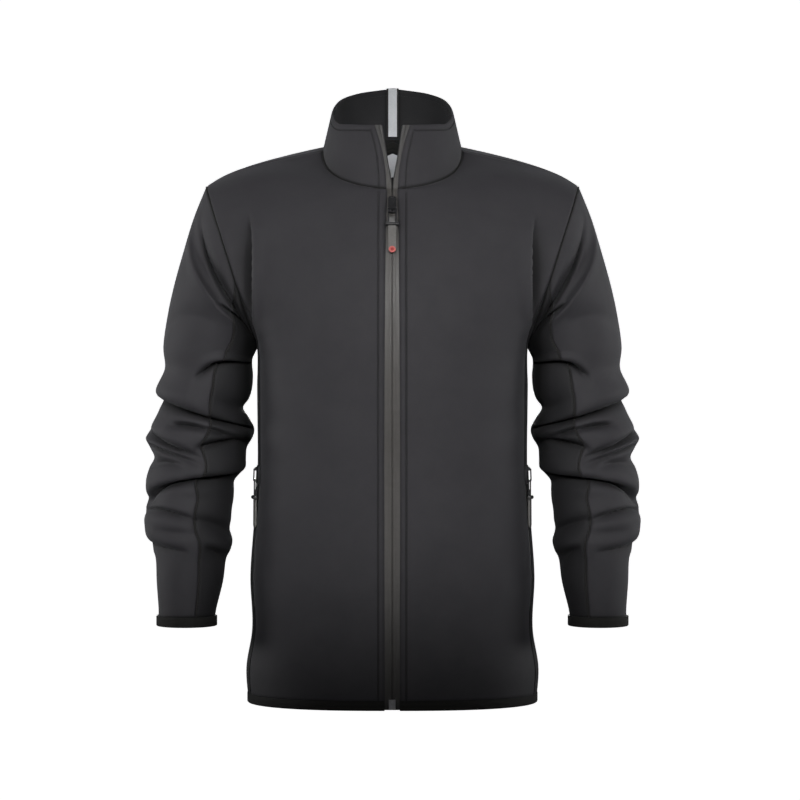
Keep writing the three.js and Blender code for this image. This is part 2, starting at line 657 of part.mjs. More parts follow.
function gripOutline() {
  const top = -PULL.neck - SEAM_GAP;
  const low = top - PULL.barHigh;
  const end = -PULL.long;
  const half = PULL.grip / 2;
  const rounding = range(0, 7).map((k) => {
    const turn = Math.PI * (k / 6);
    return [half * Math.cos(turn), end + half - half * Math.sin(turn)];
  });
  return [[-PULL.bar / 2, top], [-PULL.bar / 2, low], [-half, low - 0.6],
    ...rounding.reverse(), [half, low - 0.6], [PULL.bar / 2, low], [PULL.bar / 2, top]];
}

// Places on the front edge line, from the hem up to the neck seam and on up the collar's edge
function edgeLine() {
  const body = range(-ROWS_BELOW, FRONT_CORNER).map((row) => (
    [bodyPoint(row, 0, false), bodyPoint(row, COLUMNS[1] * frontSeam(row), false)]));
  const collar = COLLAR_ROWS.map((rise) => [collarPoint(NECK_START, rise), collarPoint(neckTurns()[1], rise)]);
  const line = [...body, ...collar];
  return line.map(([point, next], i) => {
    const up = line[Math.min(i + 1, line.length - 1)][0].clone().sub(line[Math.max(i - 1, 0)][0]);
    const across = next.clone().sub(point).normalize();
    return { point, across, out: across.clone().cross(up).normalize() };
  });
}

function addFrontZip() {
  const line = edgeLine();
  const low = -WALL - SEAM_GAP;
  for (const side of ['left', 'right']) {
    const sections = line.map(({ point, across, out }) => {
      const teeth = along(EDGE, 'teeth', point.z) - point.x;
      const corners = [[teeth, low], [TAPE.under, low], [TAPE.under, low - TAPE.wall], [teeth, low - TAPE.wall]];
      return corners.map(([w, o]) => point.clone().addScaledVector(across, w).addScaledVector(out, o));
    });
    const tape = strip(sections);
    add(`zip_tape_${side}`, side === 'left' ? tape : mirroredBody(tape), TAPE_GREY);
  }
  const place = (z) => {
    const slope = along(FRONT, 'depth', z + 1) - along(FRONT, 'depth', z - 1);
    return { point: new THREE.Vector3(0, -along(FRONT, 'depth', z), z),
      out: new THREE.Vector3(0, -2, -slope).normalize() };
  };
  const across = new THREE.Vector3(1, 0, 0);
  const { pull } = addSliderAndPull('zip', place, across, SLIDER.z, SLIDER.seat, PULL.lie);
  const dot = new THREE.CylinderGeometry(DOT.wide / 2, DOT.wide / 2, DOT.thick, 24);
  dot.translate(0, -PULL.thick / 2 - DOT.thick / 2 - SEAM_GAP, DOT.up - PULL.long);
  add('zip_pull_dot', dot, RED, 0.5, 0, pull);
  const box = frameAt(place(BOX_END.z).point.addScaledVector(place(BOX_END.z).out, BOX_END.seat), across,
    new THREE.Vector3(0, 0, 1));
  add('zip_box', plate(rectangle(BOX_END.wide, BOX_END.high / 2, -BOX_END.high / 2), BOX_END.thick),
    STEEL, 0.3, 0.9, box);
}

function addPocketZips() {
  const rows = range(-ROWS_BELOW, 1);
  const seam = rows.map((row) => {
    const share = frontSeam(row);
    const point = bodyPoint(row, share, false);
    const across = bodyPoint(row, share + 0.03, false).sub(bodyPoint(row, share - 0.03, false)).normalize();
    return { point, across };
  });
  const heights = { at: seam.map(({ point }) => point.z) };
  for (const name of ['x', 'y']) heights[name] = seam.map(({ point }) => point[name]);
  const place = (z) => {
    const point = new THREE.Vector3(along(heights, 'x', z), along(heights, 'y', z), z);
    const near = seam.reduce((best, one) => (
      Math.abs(one.point.z - z) < Math.abs(best.point.z - z) ? one : best));
    return { point, out: near.across.clone().cross(new THREE.Vector3(0, 0, 1)).normalize() };
  };
  for (const side of ['left', 'right']) {
    const sign = side === 'left' ? 1 : -1;
    const onSide = (z) => {
      const { point, out } = place(z);
      return { point: new THREE.Vector3(sign * point.x, point.y, z),
        out: new THREE.Vector3(sign * out.x, out.y, out.z) };
    };
    const { out } = onSide(POCKET.slider);
    const across = new THREE.Vector3(0, 0, 1).cross(out);
    addSliderAndPull(`pocket_${side}`, onSide, across, POCKET.slider, POCKET.clear, POCKET.lie);
  }
}

// A point of the back near its middle, drop below the neck seam
function backBelowNeck(x, drop) {
  const [low, middle, seam] = [2, 1, 0].map((below) => {
    const inner = bodyPoint(BACK_CORNER - below, 0, true);
    const next = bodyPoint(BACK_CORNER - below, COLUMNS[1], true);
    return inner.lerp(next, x / next.x);
  });
  const first = seam.z - middle.z;
  return drop < first ? seam.lerp(middle, drop / first)
    : middle.lerp(low, (drop - first) / (middle.z - low.z));
}

function addInside(name, { wide, from, to, wall }, color) {
  const patch = new Skin();
  const drops = [1, 2 / 3, 1 / 3, 0].map((share) => mix(from, to, share));
  patch.addWhole(name, name, drops.map((drop) => [0, 0.5, 1].map((share) => {
    const point = backBelowNeck((wide / 2) * share, drop);
    point.y -= WALL + INSIDE_CLEAR;
    return point;
  })));
  patch.measureNormals();
  add(name, patch.solid(name, wall, wall), color);
}

function addNeckTrim() {
  addInside('neck_tape', NECK_TAPE, BINDING);
  addInside('hanger_loop', LOOP, LINING);
  addInside('neck_label', LABEL, LABEL_GREY);
  const strap = new Skin();
  const inside = WALL + SEAM_GAP + FACING_WALL + INSIDE_CLEAR;
  const neighbour = neckTurns().at(-2);
  const row = (rise, out) => [0, 0.5, 1].map((share) => {
    const middle = collarPoint(180, rise);
    const next = collarPoint(neighbour, rise);
    const point = middle.lerp(next, (share * REFLECTOR.wide) / 2 / next.x);
    point.y += out;
    return point;
  });
  const over = [[1, -inside], [1, INSIDE_CLEAR]].map(([rise, out]) => row(rise, out).map((point) => {
    point.z += INSIDE_CLEAR;
    return point;
  }));
  strap.addWhole('neck_reflector', 'strap', [row(REFLECTOR.low, -inside), row(0.5, -inside), ...over,
    row(REFLECTOR.outside, INSIDE_CLEAR)]);
  strap.measureNormals();
  add('neck_reflector', strap.solid('neck_reflector', REFLECTOR.wall, REFLECTOR.wall), REFLECTIVE, 0.4, 0.2);
}

const cloth = new Skin();
addBody(cloth);
addSleeves(cloth);
cloth.addWhole('collar', 'collar', collarRows(neckTurns()));
cloth.addWhole('collar_facing', 'collar', collarRows(neckTurns().slice(1)));
cloth.addWhole('hem_binding', 'body', levelRows([HEM_SEAM - BINDING_HEIGHT, HEM_SEAM]));
const cuffTurns = range(0, 360 + 15, 15);
const cuffRing = (drop) => cuffTurns.map((turn) => {
  const point = sleevePoint(28, wandering(turn > SLEEVE_SEAM.back ? turn - 360 : turn, 28));
  point.z -= drop;
  return point;
});
cloth.addPair('cuff_binding', 'sleeve', [cuffRing(0), cuffRing(BINDING_HEIGHT + 1)]);
cloth.measureNormals();

for (const side of ['left', 'right']) {
  add(`front_${side}`, cloth.solid(`front_${side}`), CLOTH);
  add(`side_${side}`, cloth.solid(`side_${side}`), UNDER_CLOTH);
  add(`sleeve_upper_${side}`, cloth.solid(`sleeve_upper_${side}`), CLOTH);
  add(`sleeve_under_${side}`, cloth.solid(`sleeve_under_${side}`), UNDER_CLOTH);
  add(`cuff_binding_${side}`, cloth.solid(`cuff_binding_${side}`, BINDING_PROUD, BINDING_WALL), BINDING);
}
add('back', cloth.solid('back'), CLOTH);
add('collar', cloth.solid('collar'), CLOTH);
add('collar_facing', cloth.solid('collar_facing', -WALL - SEAM_GAP, FACING_WALL), LINING);
add('hem_binding', cloth.solid('hem_binding', BINDING_PROUD, BINDING_WALL), BINDING);

addFrontZip();
addPocketZips();
addNeckTrim();

export default group;
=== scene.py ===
import json
import math

import bpy
import numpy as np
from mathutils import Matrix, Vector


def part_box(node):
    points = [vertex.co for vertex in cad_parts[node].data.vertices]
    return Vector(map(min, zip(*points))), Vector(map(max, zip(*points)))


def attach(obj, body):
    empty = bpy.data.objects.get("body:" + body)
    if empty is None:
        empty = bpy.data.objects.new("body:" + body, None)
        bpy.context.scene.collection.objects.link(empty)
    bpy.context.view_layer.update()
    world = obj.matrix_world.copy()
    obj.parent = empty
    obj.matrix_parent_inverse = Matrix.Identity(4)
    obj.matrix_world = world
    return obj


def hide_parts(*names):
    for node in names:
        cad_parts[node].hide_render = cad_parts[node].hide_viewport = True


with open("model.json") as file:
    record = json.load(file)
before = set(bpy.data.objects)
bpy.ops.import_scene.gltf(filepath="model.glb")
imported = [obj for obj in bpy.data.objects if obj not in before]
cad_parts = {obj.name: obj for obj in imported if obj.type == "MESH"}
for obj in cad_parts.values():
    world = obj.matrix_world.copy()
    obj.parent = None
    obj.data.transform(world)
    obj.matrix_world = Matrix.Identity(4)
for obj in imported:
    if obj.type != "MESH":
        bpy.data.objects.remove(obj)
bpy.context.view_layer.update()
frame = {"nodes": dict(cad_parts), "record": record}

# The jacket's form repeats the CAD's tables, in millimetres, and is made finer here. +Z is up,
# +Y points to its back and +X to the wearer's left.
METRE = 0.001

WALL = 1.6
SEAM_GAP = 0.3
FACING_WALL = 1.2
BINDING_HEIGHT, BINDING_WALL, BINDING_TOP = 10, 3, 0.7
HEM_SEAM = -677
ARMPIT = -245
NECK_FRONT = -54
NECK_BACK = 20
SECTION_SQUARE = 2.4
SHOULDER_SQUARE = 1.05
SHOULDER_ROUND = 6
ROWS_BELOW = 11
ROWS_ABOVE = 12
SIDE_TOP_ROW = 5
FRONT_CORNER = 7
BACK_CORNER = 8
FIRST_COLUMN = 0.16
LAST_STEP = 28
COLLAR_BOW = 14
SEAM_FRONT_TURN = 105
SEAM_BACK_TURN = 225
NECK_HALF, NECK_FRONT_DEEP, NECK_BACK_DEEP = 87, 88, 78
TOP_HALF, TOP_FRONT_DEEP, TOP_BACK_DEEP = 76, 70, 74
ARMHOLE = {"x": 200, "y": 3, "z": -145, "wide": 33, "skew": 7, "deep": 70, "tall": 100}
# The upright fold in front of each armhole: how far out its crest stands, the height of its lip, how
# deep the hollow beside it is, and the heights between which it comes and goes
ARM_FOLD = {
    "crest": 171, "roll": 6, "lip": 3, "steep": 9, "depth": 44, "fall": 1.2, "across": 0.55, "in": 0.8,
    "back_across": 0.2, "back_in": 0.4, "top": -72, "full": -160, "low": -228, "end": -262,
}
BEND_ROWS, BEND_FROM, BEND_WEIGHTS = 2.6, -5, (1, 2, 3, 2, 1)
SHOULDER_STRAIGHT, SHOULDER_POWER = 0.68, 6
# The cloth's folds are this much deeper here than in the solids, with a crease at the bottom of
# those deeper than SOFT_DEPTH, and a lip above each
FOLD_GAIN, LIP_GAIN, CREASE_SHARE, CREASE_REACH, SOFT_DEPTH = 1.55, 1.6, 0.9, 2.4, 2.5
LIP_RISE, LIP_WIDE, LIP_AT, HANG_AT = 0.35, 1.3, 2, 1.4
SEAM_WANDERS_FROM = 30


def table(columns, *rows):
    return {name: np.array([row[i] for row in rows], float) for i, name in enumerate(columns.split())}


BODY = table(
    "at half back",
    (-690, 179, 124), (-645, 182, 126), (-600, 175, 124), (-530, 177, 118), (-470, 173, 110),
    (-400, 168, 105), (-340, 168, 108), (-290, 169, 116), (-245, 167, 122), (-180, 173, 130),
    (-120, 173, 127), (-60, 170, 111), (20, 160, 78),
)
FRONT = table(
    "at depth",
    (-690, 126), (-600, 127), (-500, 127), (-400, 131), (-320, 138), (-245, 141), (-180, 136.5),
    (-120, 121), (-80, 103), (-54, 88),
)
EDGE = table(
    "at front teeth",
    (-690, 9.2, 0.3), (-200, 8.6, 0.3), (-90, 7.2, 0.3), (-62, 6.2, 0.4), (-40, 8, 2.5),
    (-18, 10.4, 6.5), (5, 15, 10.2), (24, 22, 13.4),
)
COLLAR_RIM = table(
    "turn height", (0, 24), (40, 27), (65, 31), (90, 46), (115, 64), (145, 77), (180, 85),
)
SIDE_FRONT = table(
    "row share", (-11, 0.78), (-6, 0.79), (0, 0.8), (1, 0.81), (2, 0.83), (3, 0.865), (4, 0.915), (5, 1),
)
SIDE_BACK = table(
    "row share", (-11, 0.72), (-6, 0.72), (0, 0.73), (1, 0.75), (2, 0.79), (3, 0.85), (4, 0.92), (5, 1),
)
SLEEVE = table(
    "outerX outerZ innerX innerZ middleY deep",
    (233, -45, 167, -245, 3, 70), (249, -85, 169, -248.5, 3, 69), (262, -128, 171, -252, 3, 67),
    (273, -168, 173, -256, 3, 65.5), (281.5, -208, 175, -260.5, 3, 64),
    (286.5, -245, 175.5, -268, 3, 62.5), (284.5, -271, 174.5, -283, 4, 62),
    (291, -288, 176, -299, 4, 63), (295, -299, 180, -311, 5, 64), (289, -309, 187, -322, 5, 61),
    (292, -321, 180, -334, 6, 62), (298, -337, 173, -348, 6, 65), (305, -349, 175, -359, 6, 65),
    (311, -361, 182, -371, 6, 63), (304, -372, 183.5, -382, 5, 61), (298, -384, 184, -397, 4, 60),
    (304, -397, 190, -404, 3, 57), (308, -412, 197.5, -413, 1, 56), (307, -424, 198, -424, -1, 56),
    (303.5, -434, 198.5, -435, -2, 54), (309.5, -447, 200.5, -448, -4, 55),
    (311, -460, 201.5, -461, -5, 55), (308, -474, 203, -473, -7, 54),
    (304, -485, 199.5, -487, -8, 53), (299.5, -499, 202, -499, -9, 50),
    (295, -512, 207.5, -511, -10, 47), (293.5, -540, 211, -538, -12, 44),
    (291, -572, 219, -571, -14, 41), (291.5, -582, 220.5, -582, -14, 40),
)
SEAM_TURN = table(
    "at turn", (-582, 114), (-540, 110), (-500, 107), (-450, 104), (-400, 102), (-350, 101), (-300, 105),
    (-270, 102), (-249, 110), (-225, 118), (-180, 123), (-135, 120), (-100, 113), (-45, 105),
)
# Creases of a sleeve: see the CAD. Heights are those of the outer side.
CREASES = table(
    "a b start middle end depth above below droop",
    (30, 160, -70, -92, -48, 9, 16, 11, 0), (14, 128, -92, -133, -112, -5, 9, 22, 0),
    (90, 170, -134, -84, -24, 6, 5, 8, 1), (5, 100, -222, -196, -166, 2, 14, 16, 0),
    (76, 174, -282, -240, -234, 8, 5, 12, 4),
    (-14, 186, -304, -316, -339, 10, 5, 14, 8), (50, 104, -341, -339, -345, 5, 6, 6, 2),
    (-10, 100, -350, -358, -378, 6, 5, 7, 3), (-10, 104, -362, -372, -387, 4, 5, 7, 2),
    (12, 86, -399, -387, -395, 3, 6, 7, 1), (2, 190, -440, -402, -388, 9, 6, 13, 6),
    (94, 150, -340, -344, -346, 4, 5, 6, 2), (90, 176, -370, -353, -357, 5, 5, 8, 2),
    (-14, 110, -453, -446, -462, 5, 6, 11, 3), (100, 172, -458, -464, -476, 3, 7, 9, 1),
    (40, 108, -474, -476, -478, 2, 6, 8, 0), (-14, 92, -489, -493, -500, 4, 6, 11, 2),
    (112, 172, -494, -500, -508, 4, 6, 9, 1), (190, 300, -276, -284, -300, 4, 9, 14, 1),
    (205, 352, -326, -336, -330, 6, 7, 14, 3), (196, 330, -360, -372, -380, 6, 6, 13, 3),
    (214, 356, -398, -404, -396, 5, 7, 13, 2), (190, 318, -428, -438, -446, 5, 7, 12, 2),
    (208, 350, -464, -472, -462, 4, 7, 12, 1), (196, 320, -496, -502, -506, 3, 7, 11, 1),
)


def mix(a, b, share):
    return a + (b - a) * share


def clamp(value, low=0.0, high=1.0):
    return np.clip(value, low, high)


def ease(value):
    s = clamp(value)
    return s * s * (3 - 2 * s)


def sine(degrees):
    return np.sin(np.radians(degrees))


def cosine(degrees):
    return np.cos(np.radians(degrees))


def points_of(x, y, z):
    return np.stack(np.broadcast_arrays(x, y, z), -1).astype(float)


def unit(vectors):
    return vectors / np.maximum(np.linalg.norm(vectors, axis=-1, keepdims=True), 1e-9)


def along(rows, column, place, by="at"):
    """A smooth curve through the rows of a table, read at each place."""
    y = rows[column]
    x = rows.get(by, np.arange(len(y), dtype=float))
    gaps = np.diff(x)
    slopes = np.diff(y) / gaps
    tangents = np.empty_like(y)
    tangents[0], tangents[-1] = slopes[0], slopes[-1]
    tangents[1:-1] = (slopes[:-1] * gaps[1:] + slopes[1:] * gaps[:-1]) / (gaps[:-1] + gaps[1:])
    at = np.clip(place, x[0], x[-1])
    i = np.clip(np.searchsorted(x, at, side="right") - 1, 0, len(x) - 2)
    h = gaps[i]
    s = (at - x[i]) / h
    return (
        (2 * s**3 - 3 * s**2 + 1) * y[i]
        + (s**3 - 2 * s**2 + s) * h * tangents[i]
        + (3 * s**2 - 2 * s**3) * y[i + 1]
        + (s**3 - s**2) * h * tangents[i + 1]
    )


def rounded_quarter(share, square):
    turn = share * math.pi / 2
    across, forward = np.abs(np.sin(turn)), np.abs(np.cos(turn))
    reach = (across**square + forward**square) ** (-1 / square)
    return reach * across, reach * forward


def armhole(turn):
    c, s = cosine(turn), sine(turn)
    a = ARMHOLE
    return points_of(a["x"] + a["wide"] * c, a["y"] + a["skew"] * c - a["deep"] * s, a["z"] + a["tall"] * c)


NECK_START = math.degrees(math.asin(6.2 / NECK_HALF))
RIM_START = math.degrees(math.asin((22 / TOP_HALF) ** (1 / 0.9)))


def neck_seam(turn):
    c = cosine(turn)
    reach = np.abs(c)
    z = np.where(c > 0, NECK_FRONT * reach**0.8, NECK_BACK * reach**1.2)
    y = np.where(c > 0, -NECK_FRONT_DEEP * reach, NECK_BACK_DEEP * reach)
    return points_of(NECK_HALF * np.abs(sine(turn)) ** 0.95 * (np.asarray(turn) < 180), y, z)


def collar_rim(turn):
    c = cosine(turn)
    y = np.where(c > 0, -TOP_FRONT_DEEP * c, -TOP_BACK_DEEP * c)
    x = TOP_HALF * np.abs(sine(turn)) ** 0.9 * (np.asarray(turn) < 180)
    return points_of(x, y, along(COLLAR_RIM, "height", turn, "turn"))


def level_ends(z, at_back):
    y = along(BODY, "back", z) if at_back else -along(FRONT, "depth", z)
    x = 0 * z if at_back else along(EDGE, "front", z)
    outer = points_of(along(BODY, "half", z), ARMHOLE["y"] - ARMHOLE["skew"], z)
    return points_of(x, y, z), outer


def row_ends(row, at_back):
    corner = BACK_CORNER if at_back else FRONT_CORNER
    top = NECK_BACK if at_back else NECK_FRONT
    level = np.where(row <= 0, mix(ARMPIT, HEM_SEAM, -row / ROWS_BELOW), mix(ARMPIT, top, row / corner))
    inner, outer = level_ends(level, at_back)
    above = row > 0
    outer[above] = armhole(180 + (1 if at_back else -1) * 180 * row[above] / ROWS_ABOVE)
    neck = row >= corner
    share = (row[neck] - corner) / (ROWS_ABOVE - corner)
    inner[neck] = neck_seam(mix(180, 90, share) if at_back else mix(NECK_START, 90, share))
    return inner, outer


def arm_fold(points, outer, at_back):
    """How far the fold moves points of the body: out along its crest, and in and under it beside that."""
    fold = ARM_FOLD
    x, z = points[..., 0], points[..., 2]
    window = ease((fold["top"] - z) / (fold["top"] - fold["full"]))
    window = window * ease((z - fold["end"]) / (fold["low"] - fold["end"]))
    past = x - fold["crest"]
    rise = fold["lip"] * window * np.exp(-(((past + fold["roll"]) / fold["roll"]) ** 2))
    left = clamp(past / np.maximum(outer - fold["crest"], 1))
    hollow = fold["depth"] * window * ease(past / fold["steep"]) * (1 - left) ** fold["fall"]
    if at_back:
        return points_of(-fold["back_across"] * hollow, fold["back_in"] * (rise - fold["across"] * hollow), 0)
    return points_of(-fold["across"] * hollow, fold["in"] * hollow - rise, 0)


def body_point(row, share, at_back):
    """Points of the body: one row of them for each row, at the shares given for it."""
    row = np.asarray(row, float)[:, None]
    share = np.broadcast_to(np.asarray(share, float), (len(row), np.shape(share)[-1]))
    fade = clamp((ROWS_ABOVE - row) / BEND_ROWS) * ease((row - BEND_FROM) / 3)
    reach = BEND_ROWS * np.sin(math.pi * clamp(share)) ** 0.5 * fade
    middle = (len(BEND_WEIGHTS) - 1) / 2
    points = sum(
        sharp_point(row + reach * (i - middle) / middle, share, at_back) * weight
        for i, weight in enumerate(BEND_WEIGHTS)
    ) / sum(BEND_WEIGHTS)
    outer = row_ends(row, at_back)[1][..., 0]
    return points + arm_fold(points, outer, at_back)


def sharp_point(row, share, at_back):
    """The same before the bend at the shoulder is rounded, with a row number for each point."""
    inner, outer = row_ends(row, at_back)
    up = clamp(row / ROWS_ABOVE)
    across, forward = rounded_quarter(share, mix(SECTION_SQUARE, SHOULDER_SQUARE, up**1.8))
    corner = BACK_CORNER if at_back else FRONT_CORNER
    rounding = clamp((row - corner + 1) / (ROWS_ABOVE - corner + 1))
    fall = SHOULDER_STRAIGHT * across + (1 - SHOULDER_STRAIGHT) * across**SHOULDER_POWER
    z = mix(inner[..., 2], outer[..., 2], mix(across**1.5, fall, up**4))
    z = z + SHOULDER_ROUND * np.sin(math.pi * rounding) * np.sin(math.pi * share)
    x = mix(inner[..., 0], outer[..., 0], across)
    y = mix(outer[..., 1], inner[..., 1], forward)
    return points_of(x, y, z)


def front_seam(row):
    return along(SIDE_FRONT, "share", row, "row")[:, None]


def back_seam(row):
    return along(SIDE_BACK, "share", row, "row")[:, None]


def creasing(turn, height):
    """How far the creases push a sleeve's cloth in or out, and how far a lip hangs down."""
    push = np.zeros(np.broadcast_shapes(turn.shape, height.shape))
    hang = push.copy()
    for i in range(len(CREASES["a"])):
        a, b, start, middle, end, depth, above, below, droop = (CREASES[name][i] for name in CREASES)
        half = (b - a) / 2
        away = ((turn - (a + b) / 2 + 540) % 360 - 180) / half
        fade = np.cos(math.pi / 2 * np.clip(away, -1, 1)) ** 0.8
        share = (away + 1) / 2
        path = start + (4 * middle - 3 * start - end) * share + 2 * (start + end - 2 * middle) * share**2
        d = height - path
        reach = np.where(d > 0, above, below)
        push -= depth * fade / (1 + (d / reach) ** 2) ** 1.5
        push -= CREASE_SHARE * max(depth - SOFT_DEPTH, 0) * fade * np.exp(-np.abs(d) / CREASE_REACH)
        push += LIP_RISE * depth * fade * np.exp(-(((d - LIP_AT * above) / (LIP_WIDE * above)) ** 2))
        hang += droop * fade * np.exp(-(((d - HANG_AT * above) / (LIP_WIDE * above)) ** 2))
    return push * FOLD_GAIN, hang * LIP_GAIN


def sleeve_point(step, turn):
    """Points of a sleeve: a row of them for each step, at each turn."""
    step = np.asarray(step, float)[:, None]
    turn = np.atleast_2d(np.asarray(turn, float))
    read = {name: along(SLEEVE, name, step, "step") for name in SLEEVE}
    c, s = cosine(turn), sine(turn)
    half_x = (read["outerX"] - read["innerX"]) / 2
    half_z = (read["outerZ"] - read["innerZ"]) / 2
    skew = ARMHOLE["skew"] * (1 - ease(step / 6))
    x = (read["outerX"] + read["innerX"]) / 2 + half_x * c
    y = read["middleY"] + skew * c - read["deep"] * s
    z = (read["outerZ"] + read["innerZ"]) / 2 + half_z * c
    length = np.hypot(half_x, half_z)
    away = unit(points_of(half_x / length * c / length, -s / read["deep"], half_z / length * c / length))
    push, hang = creasing(turn, read["outerZ"])
    ends = ease(step / 1.5) * ease((LAST_STEP - step) / 2)
    inside = 1 - 0.75 * ease((-c - 0.55) / 0.45)
    push = push * ends * np.where(push > 0, inside, 1)
    points = points_of(x, y, z) + away * push[..., None]
    points[..., 2] -= hang * ends
    return points


def wandering(turn, step):
    """Turns near the front seam of a sleeve, moved as far as the seam wanders at that height."""
    height = along(SLEEVE, "outerZ", np.asarray(step, float), "step")[:, None]
    shift = along(SEAM_TURN, "turn", height) - SEAM_FRONT_TURN
    before = ease((turn - SEAM_WANDERS_FROM) / (SEAM_FRONT_TURN - SEAM_WANDERS_FROM))
    after = ease((SEAM_BACK_TURN - turn) / (SEAM_BACK_TURN - SEAM_FRONT_TURN))
    return turn + shift * np.where(turn < SEAM_FRONT_TURN, before, after)


def collar_point(turn, rise):
    """Points of the collar: a row of them for each rise from the neck seam, at each turn. Either may
    be given for each point."""
    turn = np.atleast_2d(np.asarray(turn, float))
    rise = np.asarray(rise, float)
    rise = rise[:, None] if rise.ndim == 1 else rise
    rim_turn = mix(RIM_START, 180, (turn - NECK_START) / (180 - NECK_START))
    points = mix(neck_seam(turn), collar_rim(rim_turn), rise[..., None])
    points[..., 0] -= COLLAR_BOW * rise * (1 - rise) * clamp(1 - (turn - NECK_START) / 30)
    return points


# Stitched lines: how far the front's are from the middle and the collar's from its top edge, and
# the groove that they press into the cloth
FRONT_STITCH, COLLAR_STITCH = 17, 8
GROOVE_DEEP, GROOVE_WIDE = 1.3, 1.1
# Beside a groove the cloth swells by this share of its depth, over this many times its width
SWELL, SWELL_WIDE = 0.35, 3
# Points nearer than a place of this grid are joined, in places to a millimetre
WELD_GRID = 500


# Meshes

def groove(distance):
    """How far stitches press the cloth in, at a distance from their line."""
    near = distance / GROOVE_WIDE
    return GROOVE_DEEP * (np.exp(-(near**2)) - SWELL * np.exp(-((near / SWELL_WIDE) ** 2)))


def lengths(grid):
    """How far each point of a grid is along its row and along its column."""
    across = np.zeros(grid.shape[:2])
    down = across.copy()
    across[:, 1:] = np.cumsum(np.linalg.norm(np.diff(grid, axis=1), axis=2), axis=1)
    down[1:] = np.cumsum(np.linalg.norm(np.diff(grid, axis=0), axis=2), axis=0)
    middle = grid.shape[1] // 2
    return np.stack([across, np.repeat(down[:, middle:middle + 1], grid.shape[1], axis=1)], -1)


def weld(grids):
    """Joins grids where their points agree. A grid comes with whether its faces are turned over, and
    may come with how far each point is pressed in, which is kept beside its places."""
    points, places, cells, start = [], [], [], 0
    for grid, flip, *press in grids:
        rows, columns = grid.shape[:2]
        index = start + np.arange(rows * columns).reshape(rows, columns)
        cell = np.stack([index[:-1, :-1], index[:-1, 1:], index[1:, 1:], index[1:, :-1]], -1).reshape(-1, 4)
        cells.append(cell[:, ::-1] if flip else cell)
        points.append(grid.reshape(-1, 3))
        pressed = press[0] if press else np.zeros((rows, columns))
        places.append(np.concatenate([lengths(grid), pressed[..., None]], axis=-1).reshape(-1, 3))
        start += rows * columns
    points = np.concatenate(points)
    _, first, back = np.unique(np.round(points * WELD_GRID).astype(np.int64), axis=0,
                               return_index=True, return_inverse=True)
    cells = back.reshape(-1)[np.concatenate(cells)]
    faces = [list(dict.fromkeys(cell)) for cell in cells.tolist()]
    return points[first], np.concatenate(places)[first], [face for face in faces if len(face) > 2]


def point_normals(points, faces):
    corners = np.array([(f[0], f[k], f[k + 1]) for f in faces for k in range(1, len(f) - 1)])
    a, b, c = (points[corners[:, k]] for k in range(3))
    ways = np.cross(b - a, c - a)
    normals = np.zeros_like(points)
    for k in range(3):
        np.add.at(normals, corners[:, k], ways)
    return unit(normals)


def rim_of(faces):
    edges = {(a, b) for face in faces for a, b in zip(face, face[1:] + face[:1])}
    return [(a, b) for a, b in edges if (b, a) not in edges]


def rim_distance(points, rim):
    ends = points[sorted({i for edge in rim for i in edge})]
    nearest = np.full(len(points), 1e9)
    for i in range(0, len(points), 2000):
        part = points[i:i + 2000]
        nearest[i:i + 2000] = np.sqrt(((part[:, None, :] - ends[None]) ** 2).sum(2).min(1))
    return nearest


def make_object(name, points, faces, materials, places=None, inside=None):
    mesh = bpy.data.meshes.new(f"{name}_shell")
    mesh.from_pydata((points * METRE).tolist(), [], faces)
    mesh.polygons.foreach_set("use_smooth", [True] * len(mesh.polygons))
    for material in materials:
        mesh.materials.append(material)
    if inside is not None:
        mesh.polygons.foreach_set("material_index", inside)
    if places is not None:
        layer = mesh.uv_layers.new(name="cloth")
        corners = np.empty(len(mesh.loops), np.int32)
        mesh.loops.foreach_get("vertex_index", corners)
        layer.data.foreach_set("uv", (places[:, :2] * METRE)[corners].astype(np.float32).ravel())
    mesh.set_sharp_from_angle(angle=math.radians(60))
    mesh.update()
    obj = bpy.data.objects.new(f"{name}_shell", mesh)
    bpy.context.scene.collection.objects.link(obj)
    return obj


def mirrored(points):
    return points * np.array([-1.0, 1.0, 1.0])


def shell(name, grids, outside, inside, wall=WALL, top=0.0, dip=1.4, dip_width=1.5):
    """A closed piece of cloth whose outer face dips a little at its seams."""
    points, places, faces = weld(grids)
    normals = point_normals(points, faces)
    rim = rim_of(faces)
    away = rim_distance(points, rim)
    outer = points + normals * (top - dip * np.exp(-((away / dip_width) ** 2)) - places[:, 2])[:, None]
    inner = points + normals * (top - wall)
    count = len(points)
    under = [[i + count for i in reversed(face)] for face in faces]
    sides = [[a, a + count, b + count, b] for a, b in rim]
    index = [0] * len(faces) + [1] * (len(under) + len(sides))
    return make_object(name, np.concatenate([outer, inner]), faces + under + sides, [outside, inside],
                       np.concatenate([places, places]), index)


def both_sides(grids):
    return grids + turned_over(grids)


def turned_over(grids):
    """The same grids for the wearer's other side."""
    return [(mirrored(grid), not flip, *press) for grid, flip, *press in grids]


def pair(name, grids, *looks, **sizes):
    """A piece on the wearer's left and its mirror image on the right."""
    left = shell(f"{name}_left", grids, *looks, **sizes)
    right = shell(f"{name}_right", turned_over(grids), *looks, **sizes)
    return left, right


def fine(start, end, count, *near):
    """Places from start to end, with more of them near each end: near gives how far those are in."""
    inner = np.linspace(start, end, count + 1)[1:-1]
    close = [start + d for d in near] + [end - d for d in near]
    reach = max(near, default=0)
    inner = inner[(inner > start + reach * 1.4) & (inner < end - reach * 1.4)]
    return np.array(sorted([start, end, *close, *inner]))


def place(obj, node, slot, body="jacket"):
    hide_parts(node)
    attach(obj, body)
    return obj


# Materials

def new_material(name):
    material = bpy.data.materials.new(name)
    material.use_nodes = True
    return material, material.node_tree, material.node_tree.nodes["Principled BSDF"]


